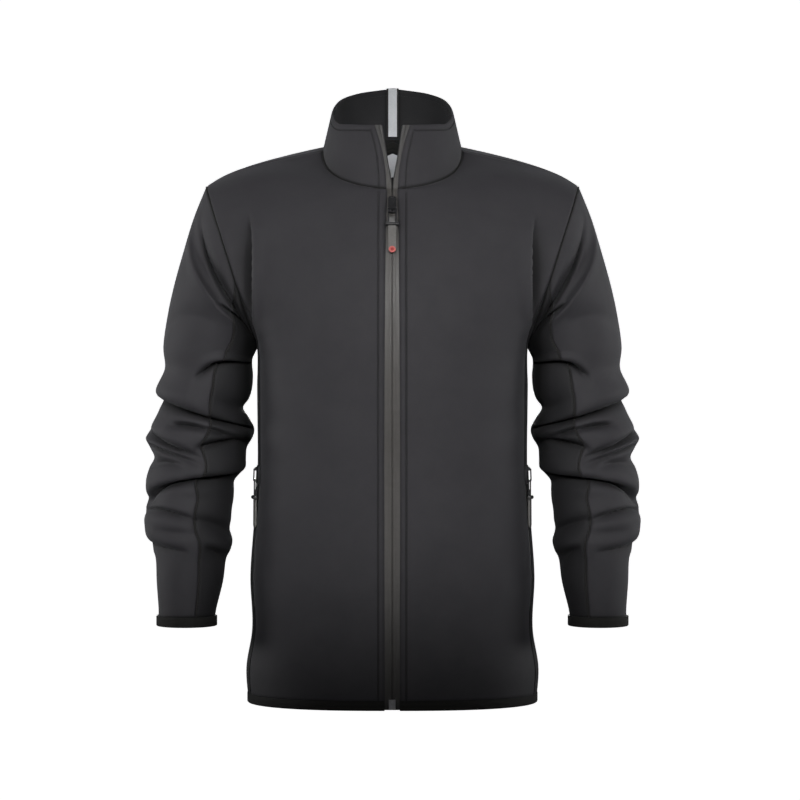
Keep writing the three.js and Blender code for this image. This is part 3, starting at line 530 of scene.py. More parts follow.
def set_inputs(node, **values):
    """Sets a node's sockets, named with underscores for spaces."""
    for name, value in values.items():
        node.inputs[name.replace("_", " ")].default_value = value


def new_node(tree, kind, operation=None, **values):
    node = tree.nodes.new(f"ShaderNode{kind}")
    if operation:
        node.operation = operation
    set_inputs(node, **values)
    return node


def link(tree, source, output, target, value):
    tree.links.new(source.outputs[output], target.inputs[value])


def noise(tree, coordinates, scale, detail=3.0, roughness=0.5):
    node = new_node(tree, "TexNoise", Scale=scale, Detail=detail, Roughness=roughness)
    link(tree, coordinates, "Object", node, "Vector")
    return node


def wave(tree, coordinates, scale, direction, distortion=0.0):
    node = new_node(tree, "TexWave", Scale=scale, Distortion=distortion)
    node.bands_direction = direction
    link(tree, coordinates, "UV", node, "Vector")
    return node


def blended(tree, first, second, factor):
    node = new_node(tree, "Mix", Factor=factor)
    link(tree, first, "Fac", node, "A")
    link(tree, second, "Fac", node, "B")
    return node


def ramp(tree, source, output, *stops):
    node = new_node(tree, "ValToRGB")
    link(tree, source, output, node, "Fac")
    elements = node.color_ramp.elements
    while len(elements) < len(stops):
        elements.new(0.5)
    for element, (position, color) in zip(elements, stops):
        element.position = position
        element.color = (*color, 1)
    return node


def bump(tree, source, output, shader, strength, distance, before=None):
    node = new_node(tree, "Bump", Strength=strength, Distance=distance)
    link(tree, source, output, node, "Height")
    if before is not None:
        link(tree, before, "Normal", node, "Normal")
    link(tree, node, "Normal", shader, "Normal")
    return node


# Painted shade: the cloth's colour is darkened in its hollows, which are seen this far round, in metres
HOLLOW_REACH, HOLLOW_POWER = 0.03, 1.8


def cloth_material(name, dark, light, weave=420.0, depth=0.00012, roughness=0.72, sheen=0.1):
    """A knitted or woven face: a fine weave that follows the cut, soft mottling, a low sheen and painted
    shade in its hollows.
    """
    material, tree, shader = new_material(name)
    set_inputs(shader, Roughness=roughness, Sheen_Weight=sheen, Sheen_Roughness=0.45,
               Sheen_Tint=(0.75, 0.76, 0.8, 1), Specular_IOR_Level=0.28)
    coordinates = new_node(tree, "TexCoord")
    both = blended(tree, noise(tree, coordinates, 26, 4, 0.6), noise(tree, coordinates, 900, 2, 0.6), 0.35)
    colors = ramp(tree, both, "Result", (0.3, dark), (0.7, light))
    # The base colour carries painted shade in the cloth's hollows
    link(tree, hollow_shade(tree, colors), "Vector", shader, "Base Color")
    crossing = new_node(tree, "Math", "MULTIPLY")
    for socket, direction in enumerate("XY"):
        link(tree, wave(tree, coordinates, weave, direction), "Fac", crossing, socket)
    threads = bump(tree, crossing, "Value", shader, 0.5, depth)
    bump(tree, noise(tree, coordinates, 60, 3, 0.5), "Fac", shader, 0.25, 0.0012, threads)
    return material


def hollow_shade(tree, colors):
    """The colours, darkened in hollows as painted shade."""
    hollows = new_node(tree, "AmbientOcclusion", Distance=HOLLOW_REACH)
    hollows.samples = 6
    power = new_node(tree, "Math", "POWER")
    power.inputs[1].default_value = HOLLOW_POWER
    link(tree, hollows, "AO", power, 0)
    shaded = new_node(tree, "VectorMath", "SCALE")
    link(tree, colors, "Color", shaded, 0)
    link(tree, power, "Value", shaded, "Scale")
    return shaded


def plain_material(name, color, roughness, metallic=0.0, grain=1200.0, depth=0.00004):
    """Moulded rubber, plastic or cast metal, with a fine grain and slight wear."""
    material, tree, shader = new_material(name)
    set_inputs(shader, Metallic=metallic)
    coordinates = new_node(tree, "TexCoord")
    patches = noise(tree, coordinates, 240, 4, 0.65)
    worn = tuple(min(1, 1.35 * c + 0.004) for c in color)
    colors = ramp(tree, patches, "Fac", (0.35, color), (0.75, worn))
    link(tree, colors, "Color", shader, "Base Color")
    gloss = new_node(tree, "MapRange", To_Min=max(0.05, roughness - 0.08), To_Max=min(1, roughness + 0.12))
    link(tree, patches, "Fac", gloss, "Value")
    link(tree, gloss, "Result", shader, "Roughness")
    bump(tree, noise(tree, coordinates, grain, 2, 0.5), "Fac", shader, 0.3, depth)
    return material


def tape_material(name, dark, light):
    """Laminated zip tape: a thin film with fine lines along it, with painted shade by height."""
    material, tree, shader = new_material(name)
    set_inputs(shader, Roughness=0.5)
    coordinates = new_node(tree, "TexCoord")
    lines = wave(tree, coordinates, 380, "X", 0.6)
    both = blended(tree, lines, noise(tree, coordinates, 90, 4, 0.6), 0.5)
    colors = ramp(tree, both, "Result", (0.2, dark), (0.8, light))
    link(tree, tape_shade(tree, coordinates, colors), "Vector", shader, "Base Color")
    bump(tree, lines, "Fac", shader, 0.5, 0.0001)
    return material


# How bright the zip tape is at heights in metres: painted shade, darker inside the collar and near the hem
TAPE_LOW, TAPE_TALL = -0.7, 0.75
TAPE_SHADES = ((-0.69, 0.3), (-0.62, 0.5), (-0.5, 0.95), (-0.065, 1.0), (-0.035, 0.6), (0.0, 0.42))


# Painted shade: the tape's colours scaled by a ramp over their height
def tape_shade(tree, coordinates, colors):
    height = new_node(tree, "SeparateXYZ")
    link(tree, coordinates, "Object", height, "Vector")
    share = new_node(tree, "MapRange", From_Min=TAPE_LOW, From_Max=TAPE_LOW + TAPE_TALL)
    link(tree, height, "Z", share, "Value")
    stops = [((z - TAPE_LOW) / TAPE_TALL, (shade, shade, shade)) for z, shade in TAPE_SHADES]
    shaded = new_node(tree, "VectorMath", "MULTIPLY")
    link(tree, colors, "Color", shaded, 0)
    link(tree, ramp(tree, share, "Result", *stops), "Color", shaded, 1)
    return shaded


looks = {
    "softshell": cloth_material("softshell", (0.0193, 0.0183, 0.0213), (0.0263, 0.0252, 0.0284)),
    # A darker copy of the softshell for the side panels and the under sleeves: painted shade
    "under": cloth_material("softshell_side", (0.0085, 0.0083, 0.0095), (0.0125, 0.0122, 0.0135), sheen=0.03),
    "lining": cloth_material("lining", (0.010, 0.010, 0.011), (0.017, 0.017, 0.018), 300, 0.0003, 0.9, 0.1),
    "edging": plain_material("edging", (0.003, 0.0022, 0.0018), 0.8),
    "binding": cloth_material("binding", (0.0048, 0.0047, 0.0041), (0.0085, 0.0084, 0.0074), 500, 0.0002,
                              0.8, 0.015),
    "thread": plain_material("thread", (0.005, 0.005, 0.0055), 0.7, 0, 2500, 0.0001),
    "zip_tape": tape_material("zip_tape", (0.028, 0.0258, 0.0235), (0.053, 0.049, 0.045)),
    "coil": plain_material("zip_coil", (0.012, 0.012, 0.0125), 0.4, 0, 900, 0.0001),
    "metal": plain_material("zip_metal", (0.03, 0.03, 0.032), 0.3, 0.6),
    "steel": plain_material("box_metal", (0.45, 0.45, 0.46), 0.3, 0.9),
    "rubber": plain_material("grip", (0.082, 0.079, 0.075), 0.55, 0, 1600, 0.00006),
    "window": plain_material("pull_window", (0.05, 0.049, 0.048), 0.5),
    "red": plain_material("dot", (0.22, 0.012, 0.01), 0.45),
    "red_ring": plain_material("dot_ring", (0.36, 0.075, 0.065), 0.5),
    "reflective": cloth_material("reflective", (0.36, 0.37, 0.38), (0.5, 0.51, 0.53), 260, 0.0001, 0.45, 0.0),
    "label": cloth_material("label", (0.42, 0.43, 0.45), (0.5, 0.51, 0.53), 500, 0.0001, 0.8, 0.0),
}


def add_camera():
    data = bpy.data.cameras.new("camera")
    data.lens = 122.4
    camera = bpy.data.objects.new("camera", data)
    camera.location = (0.0094, -3.4, -0.3125)
    camera.rotation_euler = (math.pi / 2, 0, 0)
    bpy.context.scene.collection.objects.link(camera)
    bpy.context.scene.camera = camera


# Cloth

BODY_ROWS = np.concatenate([
    fine(-ROWS_BELOW, 0, 88, 0.03, 0.06)[:-3], fine(0, ROWS_ABOVE, 108, 0.03, 0.065, 0.12)[4:],
])
BODY_ROWS = np.unique(np.concatenate([BODY_ROWS, [0.0, SIDE_TOP_ROW, FRONT_CORNER, BACK_CORNER]]))
FRONT_COLUMNS = fine(0, 1, 64, 0.005, 0.011, 0.018)
SIDE_COLUMNS = fine(0, 1, 22, 0.012, 0.03, 0.05)
# The column of an even grid that is moved to the front's stitches, and the ones added beside it
STITCH_COLUMN, STITCH_NEAR = 0.046, (0.003, 0.006, 0.0095, 0.014)
# A distance that stands for no stitches near
FAR = 99


def front_stitch(rows):
    """The share of the front's rows at which its stitches run, a fixed distance from the middle."""
    shares = np.linspace(0, 0.3, 61)
    reach = body_point(rows, shares, False)[..., 0]
    return np.array([np.interp(FRONT_STITCH, one, shares) for one in reach])


def warped(columns, usual, wanted):
    """Columns from 0 to 1 moved so that the usual one lies at the place wanted in each row."""
    wanted = np.asarray(wanted)[:, None]
    return np.where(columns < usual, columns * wanted / usual,
                    1 - (1 - columns) * (1 - wanted) / (1 - usual))


def near_line(columns, place, *distances):
    """The columns, with more of them beside one place."""
    reach = max(distances) * 1.3
    kept = columns[(np.abs(columns - place) > reach) | (columns == 0) | (columns == 1)]
    return np.array(sorted([*kept, place, *[place + sign * d for d in distances for sign in (-1, 1)]]))


def add_body():
    columns = near_line(FRONT_COLUMNS, STITCH_COLUMN, *STITCH_NEAR)
    seam = front_seam(BODY_ROWS)
    shares = seam * warped(columns, STITCH_COLUMN, front_stitch(BODY_ROWS) / seam[:, 0])
    front = body_point(BODY_ROWS, shares, False)
    off = np.where((BODY_ROWS < FRONT_CORNER)[:, None], np.abs(front[..., 0] - FRONT_STITCH), FAR)
    back = body_point(BODY_ROWS, back_seam(BODY_ROWS) * FRONT_COLUMNS, True)
    side_rows = BODY_ROWS[BODY_ROWS <= SIDE_TOP_ROW]
    side_front = body_point(side_rows, mix(front_seam(side_rows), 1, SIDE_COLUMNS), False)
    side_back = body_point(side_rows, mix(back_seam(side_rows), 1, SIDE_COLUMNS), True)
    return {
        "front": pair("front", [(front, False, groove(off))], looks["softshell"], looks["lining"]),
        "side": pair("side", [(side_front, False), (side_back, True)], looks["under"], looks["lining"]),
        "back": [shell("back", both_sides([(back, True)]), looks["softshell"], looks["lining"])],
    }


# How far in from a sleeve piece's edges its grid is finer
SLEEVE_NEAR = (0.8, 1.8, 3.2)
SLEEVE_STEPS = np.interp(
    fine(-SLEEVE["outerZ"][0], -SLEEVE["outerZ"][-1], 270, *SLEEVE_NEAR),
    -SLEEVE["outerZ"], np.arange(len(SLEEVE["outerZ"])),
)


def add_sleeves():
    made = {}
    for name, start, end, count in (
        ("sleeve_upper", SEAM_BACK_TURN - 360, SEAM_FRONT_TURN, 100),
        ("sleeve_under", SEAM_FRONT_TURN, SEAM_BACK_TURN, 50),
    ):
        turns = fine(start, end, count, *SLEEVE_NEAR)
        grid = sleeve_point(SLEEVE_STEPS, wandering(turns, SLEEVE_STEPS))
        # The under sleeve takes the darker copy of the softshell, its painted shade
        look = looks["softshell"] if name == "sleeve_upper" else looks["under"]
        made[name] = pair(name, [(grid, False)], look, looks["lining"])
    return made


def collar_edge_turn(rises):
    """Where the collar's upright stitches run, 7 to 10 mm from its front edge."""
    turns = np.linspace(NECK_START, 40, 80)
    grid = collar_point(turns, rises)
    steps = np.linalg.norm(np.diff(grid, axis=1), axis=2)
    gone = np.concatenate([np.zeros((len(rises), 1)), np.cumsum(steps, axis=1)], axis=1)
    return np.array([np.interp(10 - 3 * rise, one, turns) for rise, one in zip(rises, gone)])


def collar_tall(turns):
    ends = collar_point(turns, np.array([0.0, 1.0]))
    return np.linalg.norm(ends[1] - ends[0], axis=-1)


def add_collar():
    usual_turn, usual_rise = 14.0, 0.9
    rises = near_line(fine(0, 1, 30, 0.01, 0.025, 0.05), usual_rise, 0.009, 0.018, 0.028)
    turns = near_line(fine(NECK_START, 180, 110, 0.6, 1.4, 2.4), usual_turn, 0.5, 1.0, 1.6, 2.4)
    wide = 180 - NECK_START
    share = warped((turns - NECK_START) / wide, (usual_turn - NECK_START) / wide,
                   (collar_edge_turn(rises) - NECK_START) / wide)
    turn_grid = NECK_START + wide * share
    rim = 1 - COLLAR_STITCH / collar_tall(turns)
    rise_grid = warped(rises, usual_rise, rim).T
    outer = collar_point(turn_grid, rise_grid)
    from_rim = np.abs(rise_grid - rim) * collar_tall(turns)
    edge_line = outer[:, [np.argmin(np.abs(turns - usual_turn))]]
    from_edge = np.linalg.norm(outer - edge_line, axis=-1)
    from_rim = np.where(turns < usual_turn, FAR, from_rim)
    from_edge = np.where(rise_grid > rim + 0.02, FAR, from_edge)
    pressed = np.maximum(groove(from_rim), groove(from_edge))
    collar = shell("collar", both_sides([(outer, False, pressed)]), looks["softshell"], looks["lining"])
    facing = shell("collar_facing", both_sides([(collar_point(turns[turns > 12], rises), False)]),
                   looks["lining"], looks["lining"], FACING_WALL, -WALL - SEAM_GAP, 0)
    return {"collar": [collar], "collar_facing": [facing]}


def swept(name, path, outs, ups, sections, look, closed=False):
    """A body round a path. sections gives the points round it, each as how far it is out of the cloth
    and down, which may be a number or one for each place on the path."""
    grid = np.stack([path + outs * np.reshape(out, (-1, 1)) - ups * np.reshape(down, (-1, 1))
                     for out, down in [*sections, sections[0]]])
    if closed:
        grid = np.concatenate([grid, grid[:, :1]], axis=1)
    grids = [(grid, True)]
    for column, flip in () if closed else ((0, False), (-1, True)):
        ring = grid[:, column]
        centre = np.repeat(ring[:-1].mean(0, keepdims=True), len(ring), axis=0)
        grids.append((np.stack([ring, centre], axis=1), flip))
    points, places, faces = weld(grids)
    return make_object(name, points, faces, [look], places)


def round_sections(radius, step=45):
    return [(radius * cosine(turn), radius * sine(turn)) for turn in range(0, 360, step)]


def ways_across(path, outs):
    return unit(np.cross(outs, unit(np.gradient(path, axis=0))))


def cord_pair(name, path, outs, across, radius, look):
    """A round cord along a path on the wearer's left, and its mirror image."""
    sections = [(out, down) for down, out in round_sections(radius)]
    other_way = [sections[0], *sections[:0:-1]]
    left = swept(f"{name}_left", path, outs, across, sections, look)
    right = swept(f"{name}_right", mirrored(path), mirrored(outs), mirrored(across), other_way, look)
    return [left, right]


def binding_profile(top, wall, height):
    """Round a folded elastic binding, which holds the cloth's edge, starting inside at its upper edge."""
    turns = np.linspace(0, math.pi, 9)
    middle, half = top - wall / 2, wall / 2
    low = [(middle - half * math.cos(t), height - half + half * math.sin(t)) for t in turns]
    return [(middle - half, -1), (middle - half, height / 2), *low, (middle + half, height / 2),
            (middle + half, -1), (middle + half - 0.3, -1.7), (middle, -1.5), (middle - half + 0.3, -1.7)]


UPWARD = np.array([0.0, 0.0, 1.0])


def ring_outs(path, closed):
    steps = np.roll(path, -1, axis=0) - np.roll(path, 1, axis=0)
    if not closed:
        steps[0], steps[-1] = path[1] - path[0], path[-1] - path[-2]
    return unit(np.cross(unit(steps), UPWARD))


def add_bindings():
    z = np.full(1, float(HEM_SEAM))
    shares = np.linspace(0, 1, 120)
    across, forward = rounded_quarter(shares, SECTION_SQUARE)
    quarters = []
    for at_back in (False, True):
        inner, outer = level_ends(z, at_back)
        x = mix(inner[0, 0], outer[0, 0], across)
        quarters.append(points_of(x, mix(outer[0, 1], inner[0, 1], forward), HEM_SEAM))
    left = np.concatenate([quarters[0], quarters[1][::-1][1:]])
    path = np.concatenate([left, mirrored(left)[::-1][1:]])
    profile = binding_profile(BINDING_TOP, BINDING_WALL, BINDING_HEIGHT)
    hem = swept("hem_binding", path, ring_outs(path, False), UPWARD, profile, looks["binding"])
    ring = sleeve_point([LAST_STEP], np.arange(0, 360, 2.0))[0]
    profile = binding_profile(BINDING_TOP, BINDING_WALL, BINDING_HEIGHT + 1)
    cuffs = [
        swept(f"cuff_binding_{side}", path, ring_outs(path, True), UPWARD, profile, looks["binding"], True)
        for side, path in (("left", ring), ("right", mirrored(ring)[::-1]))
    ]
    return {"hem_binding": [hem], "cuff_binding": cuffs}


def edge_line():
    """The front's and the collar's edge by the zip, from the hem up, with the ways across and out there."""
    rows = BODY_ROWS[BODY_ROWS < FRONT_CORNER]
    body = [body_point(rows, FIRST_COLUMN * front_seam(rows) * at, False)[:, 0] for at in (0, 1)]
    rises = np.linspace(0, 1, 40)
    next_turn = mix(NECK_START, 90, 1 / (ROWS_ABOVE - FRONT_CORNER))
    collar = [collar_point([turn], rises)[:, 0] for turn in (NECK_START, next_turn)]
    line, beside = (np.concatenate([body[k], collar[k]]) for k in (0, 1))
    across = unit(beside - line)
    return line, across, unit(np.cross(across, np.gradient(line, axis=0)))


def below_hem(line, across, out):
    """The front edge's line, carried down through the hem binding."""
    lower = np.array([line[0] + [0, 0, -drop] for drop in (BINDING_HEIGHT - 1, 6, 3)])
    return (np.concatenate([lower, line]), np.concatenate([across[:1]] * 3 + [across]),
            np.concatenate([out[:1]] * 3 + [out]))


# How far the zip's tape goes on under the cloth; where its coil lies, in from the tape's edge and
# behind the tape; half a turn of the coil, and how thick the coils are at a turn and between two
TAPE_UNDER, COIL_IN, COIL_BEHIND, COIL_STEP = 5.5, 0.5, 1.75, 0.8
COIL_RADII, POCKET_RADII = (1.15, 0.75), (1.2, 0.8)


def add_zip_tapes():
    line, across, out = below_hem(*edge_line())
    teeth = along(EDGE, "teeth", line[:, 2]) - line[:, 0]
    shares = np.array([0, 0.04, 0.1, 0.18, 0.26, 0.32, 0.38, 0.46, 0.54, 0.62, 0.72, 0.85, 1])
    lift = np.array([-0.5, -0.1, 0.15, 0.2, 0.1, -0.25, -0.1, 0, -0.15, 0, 0, 0, 0])
    wide = mix(teeth[:, None], TAPE_UNDER, shares)
    grid = line[:, None] + across[:, None] * wide[..., None]
    grid = grid + out[:, None] * (lift - WALL - SEAM_GAP)[None, :, None]
    return {"zip_tape": pair("zip_tape", [(grid, False)], looks["zip_tape"], looks["lining"], wall=1, dip=0)}


def coil_radii(count, radii):
    return np.where(np.arange(count) % 2, radii[1], radii[0])


def add_coils():
    """The zip's coil behind each tape's edge."""
    parts = below_hem(*edge_line())
    length = np.concatenate([[0], np.cumsum(np.linalg.norm(np.diff(parts[0], axis=0), axis=1))])
    places = np.arange(0, length[-1], COIL_STEP)
    line, across, out = (
        np.stack([np.interp(places, length, part[:, k]) for k in range(3)], -1) for part in parts
    )
    teeth = along(EDGE, "teeth", line[:, 2]) - line[:, 0]
    path = line + across * (teeth + COIL_IN)[:, None] - out * (WALL + SEAM_GAP + COIL_BEHIND)
    return cord_pair("zip_coil", path, out, across, coil_radii(len(path), COIL_RADII), looks["coil"])


# The rows of the body between which the pockets' zips show, and how deep their coils lie
POCKET_ROWS, POCKET_LIFT = (-4.25, -8.2), -0.7


def add_pocket_coils():
    """The coils of the pockets' zips, in the seams below their sliders."""
    rows = np.linspace(*POCKET_ROWS, 190)
    path, out = sewn(on_body(False), rows, front_seam(rows)[:, 0], body_centre, POCKET_LIFT)
    radii = coil_radii(len(path), POCKET_RADII)
    return cord_pair("pocket_coil", path, out, ways_across(path, out), radii, looks["coil"])


# Sewing

# A stitch's length and the gap to the next, and its thread's width and height
STITCH, STITCH_GAP, THREAD_WIDE, THREAD_HIGH = 2.6, 1.1, 0.8, 0.3


def stitches(name, lines):
    """Rows of stitches; a line is its points and the way out of the cloth at each."""
    ring = ((1, 0), (0, 1), (-1, 0), (0, -1))
    shape = [(-0.5, 0, -0.6), *[(at, a, b) for at in (-0.3, 0.3) for a, b in ring], (0.5, 0, -0.6)]
    points, faces = [], []
    for line, outs in lines:
        length = np.concatenate([[0], np.cumsum(np.linalg.norm(np.diff(line, axis=0), axis=1))])
        for middle in np.arange(STITCH, length[-1] - STITCH, STITCH + STITCH_GAP):
            ends = [np.array([np.interp(middle + d, length, line[:, k]) for k in range(3)])
                    for d in (-STITCH / 2, STITCH / 2)]
            out = unit(np.array([np.interp(middle, length, outs[:, k]) for k in range(3)]))
            ahead = ends[1] - ends[0]
            side = unit(np.cross(ahead, out))
            centre = (ends[0] + ends[1]) / 2
            start = len(points)
            points += [centre + ahead * a + side * b * THREAD_WIDE / 2 + out * c * THREAD_HIGH
                       for a, b, c in shape]
            for k in range(4):
                first, second = start + 1 + k, start + 1 + (k + 1) % 4
                faces += [[start, second, first], [first, second, second + 4, first + 4],
                          [start + 9, first + 4, second + 4]]
    return make_object(name, np.array(points), faces, [looks["thread"]])


def sewn(point_at, first, second, centre_of, lift=0.0):
    """A line on the cloth and the way out of it: point_at gives one point for each pair of places."""
    line = point_at(first, second)
    out = unit(np.cross(point_at(first + 0.02, second) - line, point_at(first, second + 0.002) - line))
    out = out * np.sign((out * (line - centre_of(line))).sum(1))[:, None]
    return line + out * lift, out


def body_centre(line):
    return line * [0.4, 0, 1] - [0, 0, 30]


def neck_centre(line):
    return line * [0, 0, 1]


def arm_centre(line):
    return line * [0, 0, 1] + [240, 0, 0]


def on_body(at_back):
    return lambda row, share: body_point(row, share[:, None], at_back)[:, 0]


def on_sleeve(step, turn):
    return sleeve_point(step, turn[:, None])[:, 0]


def on_collar(turn, rise):
    pairs = np.arange(len(turn))
    return collar_point(turn, rise)[pairs, pairs]


def both_lines(lines):
    return [*lines, *[(mirrored(points), mirrored(outs)) for points, outs in lines]]


def seam_turns(turn, steps, offset=0.0):
    """A sleeve seam's turn at each step, moved towards the under sleeve by an offset."""
    seam = wandering(np.full((len(steps), 1), float(turn)), steps)[:, 0]
    return seam + (offset if turn == SEAM_FRONT_TURN else -offset)


# How far the collar's and front's threads sink in, and where the side panels' and sleeves' lines run
THREAD_SUNK = -0.35
SIDE_LINES, SLEEVE_LINE = (0.008, 0.027), 1.6


def add_sewing():
    rows = np.linspace(6.9, -ROWS_BELOW + 0.1, 260)
    front = sewn(on_body(False), rows, front_stitch(rows), body_centre, THREAD_SUNK)
    rises = np.linspace(0.02, 0.9, 40)
    edge_turns = collar_edge_turn(rises)
    upright = sewn(on_collar, edge_turns, rises, neck_centre, THREAD_SUNK)
    round_turns = np.linspace(edge_turns[-1], 179.9, 160)
    rim_rises = 1 - COLLAR_STITCH / collar_tall(round_turns)
    rim = sewn(on_collar, round_turns, rim_rises, neck_centre, THREAD_SUNK)
    inside = (rim[0] - rim[1] * (WALL + SEAM_GAP + FACING_WALL), -rim[1])

    side_rows = np.linspace(-ROWS_BELOW + 0.1, SIDE_TOP_ROW - 0.6, 200)
    sides = [
        sewn(on_body(at_back), side_rows, seam(side_rows)[:, 0] + offset, body_centre)
        for seam, at_back in ((front_seam, False), (back_seam, True)) for offset in SIDE_LINES
    ]
    steps = np.linspace(0.5, LAST_STEP - 0.3, 260)
    arms = [sewn(on_sleeve, steps, seam_turns(turn, steps, SLEEVE_LINE), arm_centre)
            for turn in (SEAM_FRONT_TURN, SEAM_BACK_TURN)]
    pieces = {
        "front_topstitch": (front, upright), "collar_topstitch": (rim, inside),
        "side_topstitch": sides, "sleeve_topstitch": arms,
    }
    return [stitches(name, both_lines(lines)) for name, lines in pieces.items()]


def below_neck(x, drop):
    """A point of the back near its middle, drop below the neck seam."""
    low, middle, seam = (body_point([BACK_CORNER - below], [0, FIRST_COLUMN], True)[0] for below in (2, 1, 0))
    at = [end[0] + (end[1] - end[0]) * x / end[1, 0] for end in (low, middle, seam)]
    first = at[2][2] - at[1][2]
    if drop < first:
        return mix(at[2], at[1], drop / first)
    return mix(at[1], at[0], (drop - first) / (at[1][2] - at[0][2]))


# How far the tapes inside the neck stand off the cloth
STAND_OFF = 0.45


def add_inside(name, wide, start, end, wall, look):
    drops = fine(start, end, 10, 0.5)[::-1]
    across = fine(0, wide / 2, 12)
    grid = np.array([[below_neck(x, drop) for x in across] for drop in drops])
    grid[..., 1] -= WALL + STAND_OFF
    return [shell(name, both_sides([(grid, False)]), look, look, wall, wall, 0.15, 0.6)]


def reflector_strip(name, start, end, proud, look):
    """A strip that runs up the inside of the collar, over its rim and a little down its back."""
    inside = WALL + SEAM_GAP + FACING_WALL + STAND_OFF + proud
    outside = STAND_OFF + proud
    neighbour = mix(90, 180, 1 - 1 / (ROWS_ABOVE - BACK_CORNER))

    def row(rise, out, lift=0.0):
        middle, beside = (collar_point([turn], [rise])[0, 0] for turn in (180, neighbour))
        across = np.linspace(start, end, 5)
        points = middle + (beside - middle) * (across / beside[0])[:, None]
        return points + np.array([0, out, lift])

    rows = [row(rise, -inside) for rise in np.linspace(0.06, 0.97, 24)]
    centre, reach = (outside - inside) / 2, (outside + inside) / 2
    for turn in np.linspace(0, 180, 9):
        rows.append(row(1, centre - reach * cosine(turn), outside * sine(turn)))
    rows += [row(rise, outside) for rise in (0.95, 0.9, 0.85, 0.8)]
    return shell(name, both_sides([(np.array(rows), False)]), look, look, 0.5, 0.5, 0)


def add_reflector_edges():
    return reflector_strip("neck_reflector_edges", 5.6, 7.7, 0.15, looks["edging"])


def add_neck_trim():
    return {
        "neck_tape": add_inside("neck_tape", 52, 2.5, 10, 1, looks["binding"]),
        "hanger_loop": add_inside("hanger_loop", 46, 11, 14.6, 1.4, looks["binding"]),
        "neck_label": add_inside("neck_label", 34, 17, 46, 0.5, looks["label"]),
        "neck_reflector": [reflector_strip("neck_reflector", 0, 6.5, 0, looks["reflective"])],
    }


# A slot name for each kind of cloth piece
SLOTS = {
    "front": "softshell", "side": "softshell", "back": "softshell", "sleeve_upper": "softshell",
    "sleeve_under": "softshell", "collar": "softshell", "collar_facing": "lining", "hem_binding": "binding",
    "cuff_binding": "binding", "zip_tape": "zip_tape", "neck_tape": "binding", "hanger_loop": "binding",
    "neck_label": "label", "neck_reflector": "reflective",
}


def add_light(name, location, target, size, energy, spread):
    data = bpy.data.lights.new(name, "AREA")
    data.shape = "RECTANGLE"
    data.size, data.size_y = size
    data.energy = energy
    data.spread = math.radians(spread)
    light = bpy.data.objects.new(name, data)
    light.location = location
    way = Vector(target) - Vector(location)
    light.rotation_euler = way.to_track_quat("-Z", "Y").to_euler()
    bpy.context.scene.collection.objects.link(light)


# The heights in metres that the lights in front and behind point at
LIGHT_HEIGHT, REAR_HEIGHT = -0.2, -0.3


def add_studio():
    """Soft light on the front, which fades towards the hem, and on the sides and back."""
    scene = bpy.context.scene
    scene.view_settings.view_transform = "Standard"
    world = bpy.data.worlds.new("studio")
    world.use_nodes = True
    set_inputs(world.node_tree.nodes["Background"], Color=(0.95, 0.96, 1, 1), Strength=0.025)
    scene.world = world
    target = (0, 0, LIGHT_HEIGHT)
    add_light("front", (0, -2.7, 0.8), target, (1.3, 0.77), 1.85, 6.5)
    add_light("rear", (0, 2.8, 0), (0, 0, REAR_HEIGHT), (1.3, 1.0), 5, 16)
    for side in (-1, 1):
        target = (side * 0.14, 0, LIGHT_HEIGHT)
        add_light(f"front_{side}", (side * 1.5, -2.4, 0.6), target, (0.9, 0.74), 0.8, 12)
        target = (side * 0.2, 0, REAR_HEIGHT)
        add_light(f"side_{side}", (side * 2.6, 0.7, 0.1), target, (0.9, 0.9), 1.2, 24)
    add_backdrop()


def white_material():
    material, _, shader = new_material("studio_white")
    set_inputs(shader, Base_Color=(0.9, 0.9, 0.9, 1), Emission_Color=(1, 1, 1, 1), Emission_Strength=1.0)
    return material


def add_backdrop():
    """A pale floor well below the hem and a pale wall all round, which only the camera sees."""
    white = white_material()
    bpy.ops.mesh.primitive_plane_add(size=24, location=(0, 0, -1.5))
    floor = bpy.context.object
    floor.name = "floor"
    bpy.ops.mesh.primitive_uv_sphere_add(segments=48, ring_count=24, radius=11, location=(0, 0, 0))
    wall = bpy.context.object
    wall.name = "backdrop"
    for obj in (floor, wall):
        obj.data.materials.append(white)
        obj.visible_diffuse = False
        obj.visible_glossy = False
        obj.visible_shadow = False


# Pulls

# Sizes of a pull, in its own frame: its hinge is at 0, and heights are up from there
HEAD = {"half": 4.8, "top": 0, "low": -20.2, "corner": 1.6, "wire": 0.85}
BAR = {"half": 8, "z": -21.6, "wire": 2.3, "out": 1.1}
WINDOW = {"half": 3.8, "top": -11.5, "low": -19.5, "thick": 0.8}
GRIP = {"half": 5.1, "top": -22.2, "end": -59.5, "thick": 2.6, "edge": 0.9}
DOT = {"radius": 4.2, "core": 2.1, "z": -55.2, "out": 1.5}


def pull_frames():
    """Each pull's hinge, the way across it, the way out of the cloth and the way up, from its CAD nodes."""
    frames = {}
    for joint in frame["record"]["behaviour"]["joints"]:
        name = joint["child"]
        across = -unit(np.array(joint["axis"]))
        hinge = np.array(joint["pos_m"]) / METRE
        corners = np.array(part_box(f"{name}_grip")) / METRE
        up = hinge - corners.mean(0)
        up = unit(up - across * (up @ across))
        out = np.cross(across, up)
        frames[name] = (hinge, across, out, up)
    return frames


def placed(points, pull):
    """Points of a pull's own frame, which are across, out and up, moved to where it hangs."""
    hinge, across, out, up = pull
    points = np.asarray(points, float)
    return hinge + points[..., :1] * across + points[..., 1:2] * out + points[..., 2:] * up


def rounded_outline(half, top, low, corner):
    """A rectangle with round corners, counter-clockwise as across and up."""
    turns = np.linspace(0, 90, 7)
    centres = ((half, low, -90), (half, top, 0), (-half, top, 90), (-half, low, 180))
    return np.array([
        (x - math.copysign(corner, x) + corner * cosine(start + turn),
         z + (corner if z == low else -corner) + corner * sine(start + turn))
        for x, z, start in centres for turn in turns
    ])


